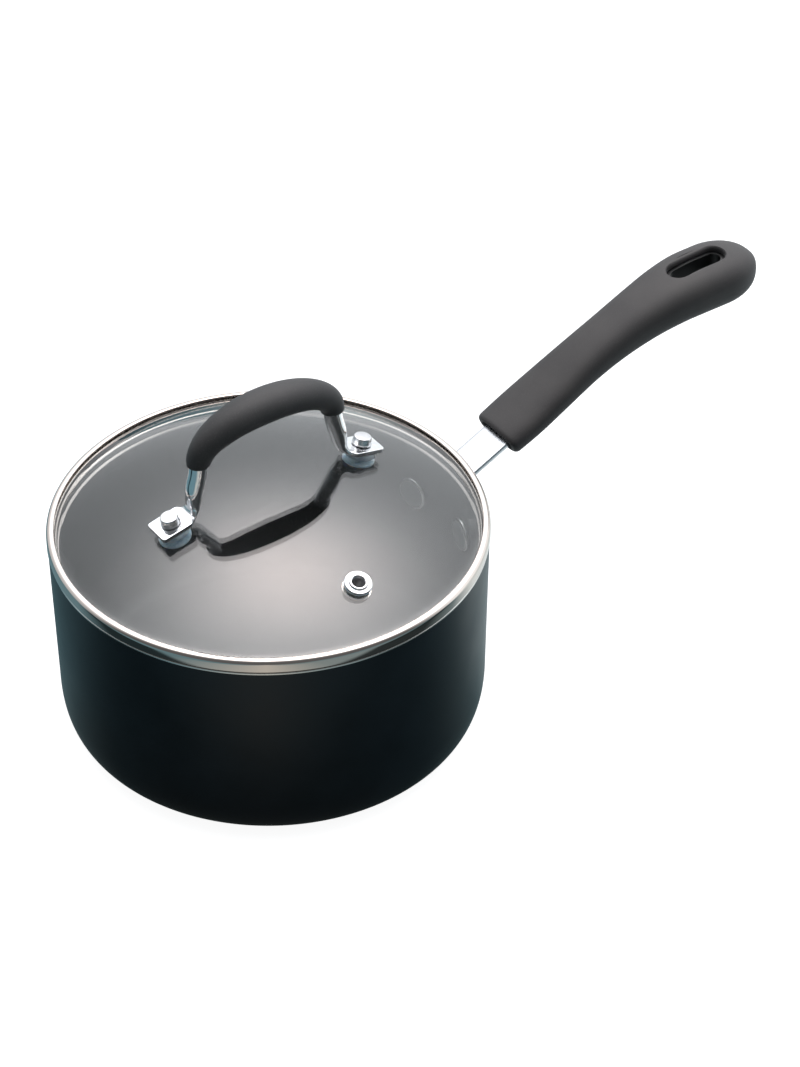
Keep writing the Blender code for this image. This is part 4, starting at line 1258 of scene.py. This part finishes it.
def make_floor():
    """A white acrylic table lit from below, as the camera sees it. Mirrors on the pan see painted
    reflections of a dim cool room that the table glows with, and a painted shadow in front of the
    pan, and the pan's other rays see a dimmer painted glow.
    """
    material, tree, shader, place = finish(
        "lit white acrylic",
        Roughness=0.6,
        Emission_Color=linear("#ffffff"),
        Emission_Strength=TABLE_GLOW,
    )
    tone = mottled(tree, grain(tree, place, 60, 1.0), "#8a8c8e", "#8e9092")
    tree.links.new(tone, shader.inputs["Base Color"])
    rightward = along(tree, place, CAMERA_RIGHT)
    away = along(tree, place, AWAY)
    # Painted reflections of a dim cool room, laid across the table as colours from left to right
    painted_boards = node(tree, "ShaderNodeValToRGB", {
        "Fac": spread(tree, rightward, 0, 1, -PAINTED_BOARD_REACH, PAINTED_BOARD_REACH),
    })
    colours = painted_boards.color_ramp
    for stop, (position, colour) in enumerate(PAINTED_BOARD_REFLECTIONS):
        element = colours.elements[stop] if stop < 2 else colours.elements.new(position)
        element.position = position
        element.color = linear(colour)
    # Painted reflection: behind the pan and on the right, the table glows bright for mirrors
    behind = spread(tree, away, 0, 1, -0.01, 0.04)
    corner = maths(tree, "MULTIPLY", behind, spread(tree, rightward, 0, 1, 0.02, 0.06))
    painted_reflection_tone = blended(tree, corner, painted_boards.outputs["Color"], "#eaf4f6")
    # Painted shadow: in the strip of table right in front of the pan, the glow that mirrors see is
    # dimmed, as if the pan shaded it
    before, beyond = spread(tree, away, 0, 1, -0.135, -0.15), spread(tree, away, 0, 1, -0.06, 0.0)
    # Painted shadow mask: 0 in the strip in front of the pan, 1 elsewhere
    shade = maths(tree, "MAXIMUM", before, beyond)
    # Painted reflections: the table glows with these colours, seen only by glossy rays
    painted_reflections = node(tree, "ShaderNodeEmission", {
        "Color": painted_reflection_tone, "Strength": spread(tree, shade, 0.12, 1, 0, 1),
    }).outputs["Emission"]
    # Painted light: the pan's other rays see a dim glow over dark grey, far darker than the table the
    # camera sees, which keeps the pan's sides in shade
    dim = node(tree, "ShaderNodeEmission", {
        "Color": linear("#eaf6f8"), "Strength": PAINTED_GLOW_ON_PAN,
    }).outputs["Emission"]
    grey = node(tree, "ShaderNodeBsdfDiffuse", {"Color": linear("#50585a")}).outputs["BSDF"]
    dull = node(tree, "ShaderNodeAddShader", {0: dim, 1: grey}).outputs["Shader"]
    painted_floor_light = node(tree, "ShaderNodeMixShader", {
        "Fac": node(tree, "ShaderNodeLightPath").outputs["Is Glossy Ray"], 1: dull, 2: painted_reflections,
    }).outputs["Shader"]
    choose(tree, "Material Output", looked_at(tree), painted_floor_light, shader.outputs["BSDF"])
    shape = bmesh.new()
    bmesh.ops.create_circle(shape, cap_ends=True, segments=96, radius=FLOOR_RADIUS)
    floor = piece("floor", shape, material, place=Matrix.Translation((0, 0, pan_low.z - 0.0002)))


def make_sky():
    """One big soft light high behind the pan, in a dim cool room, with plain white behind it all."""
    world = bpy.data.worlds.new("soft studio")
    bpy.context.scene.world = world
    world.use_nodes = True
    tree = world.node_tree
    background = tree.nodes["Background"]
    direction = node(tree, "ShaderNodeTexCoord").outputs["Generated"]
    lamp = (
        cos(LAMP_HEIGHT) * cos(LAMP_BEARING),
        cos(LAMP_HEIGHT) * sin(LAMP_BEARING),
        sin(LAMP_HEIGHT),
    )
    off_lamp = maths(tree, "ARCCOSINE", along(tree, direction, lamp))
    off_lamp = maths(tree, "DIVIDE", off_lamp, LAMP_WIDTH)
    fall = maths(tree, "MULTIPLY", maths(tree, "POWER", off_lamp, LAMP_POWER), -1.0)
    glow = maths(tree, "EXPONENT", fall)
    rightward = along(tree, direction, CAMERA_RIGHT)
    walls = maths(tree, "MULTIPLY_ADD", rightward, ROOM_SIDE_CHANGE, ROOM_BRIGHTNESS)
    facing = node(tree, "ShaderNodeMapRange", {
        "Value": along(tree, direction, AWAY), "From Min": -0.35, "From Max": 0.25,
    }, interpolation_type="SMOOTHSTEP").outputs["Result"]
    room = maths(tree, "MULTIPLY_ADD", walls, facing, ROOM_DARK)
    light = maths(tree, "MULTIPLY_ADD", glow, LAMP_BRIGHTNESS, room)
    tree.links.new(blended(tree, glow, "#f6fafe", "#fff5f3"), background.inputs["Color"])
    tree.links.new(light, background.inputs["Strength"])
    white = node(tree, "ShaderNodeBackground", {"Color": linear("#ffffff"), "Strength": 1.0})
    choose(
        tree, "World Output", looked_at(tree), background.outputs["Background"],
        white.outputs["Background"],
    )


def make_camera():
    """Looks down at the lid from the front left, with a long lens."""
    camera = bpy.data.objects.new("camera", bpy.data.cameras.new("camera"))
    bpy.context.scene.collection.objects.link(camera)
    camera.data.lens = 111.3
    camera.data.sensor_width = 36
    camera.data.clip_start = 0.05
    rim_plane = Vector((0, 0, BAND_BOTTOM + 0.0041))
    camera.location = rim_plane + Vector((-0.5478, -0.8730, 0.8049))
    camera.rotation_mode = "QUATERNION"
    camera.rotation_quaternion = CAMERA_AIM.to_track_quat("-Z", "Y")
    bpy.context.scene.camera = camera


make_floor()
make_sky()
make_camera()
bpy.context.scene.view_settings.view_transform = "Standard"
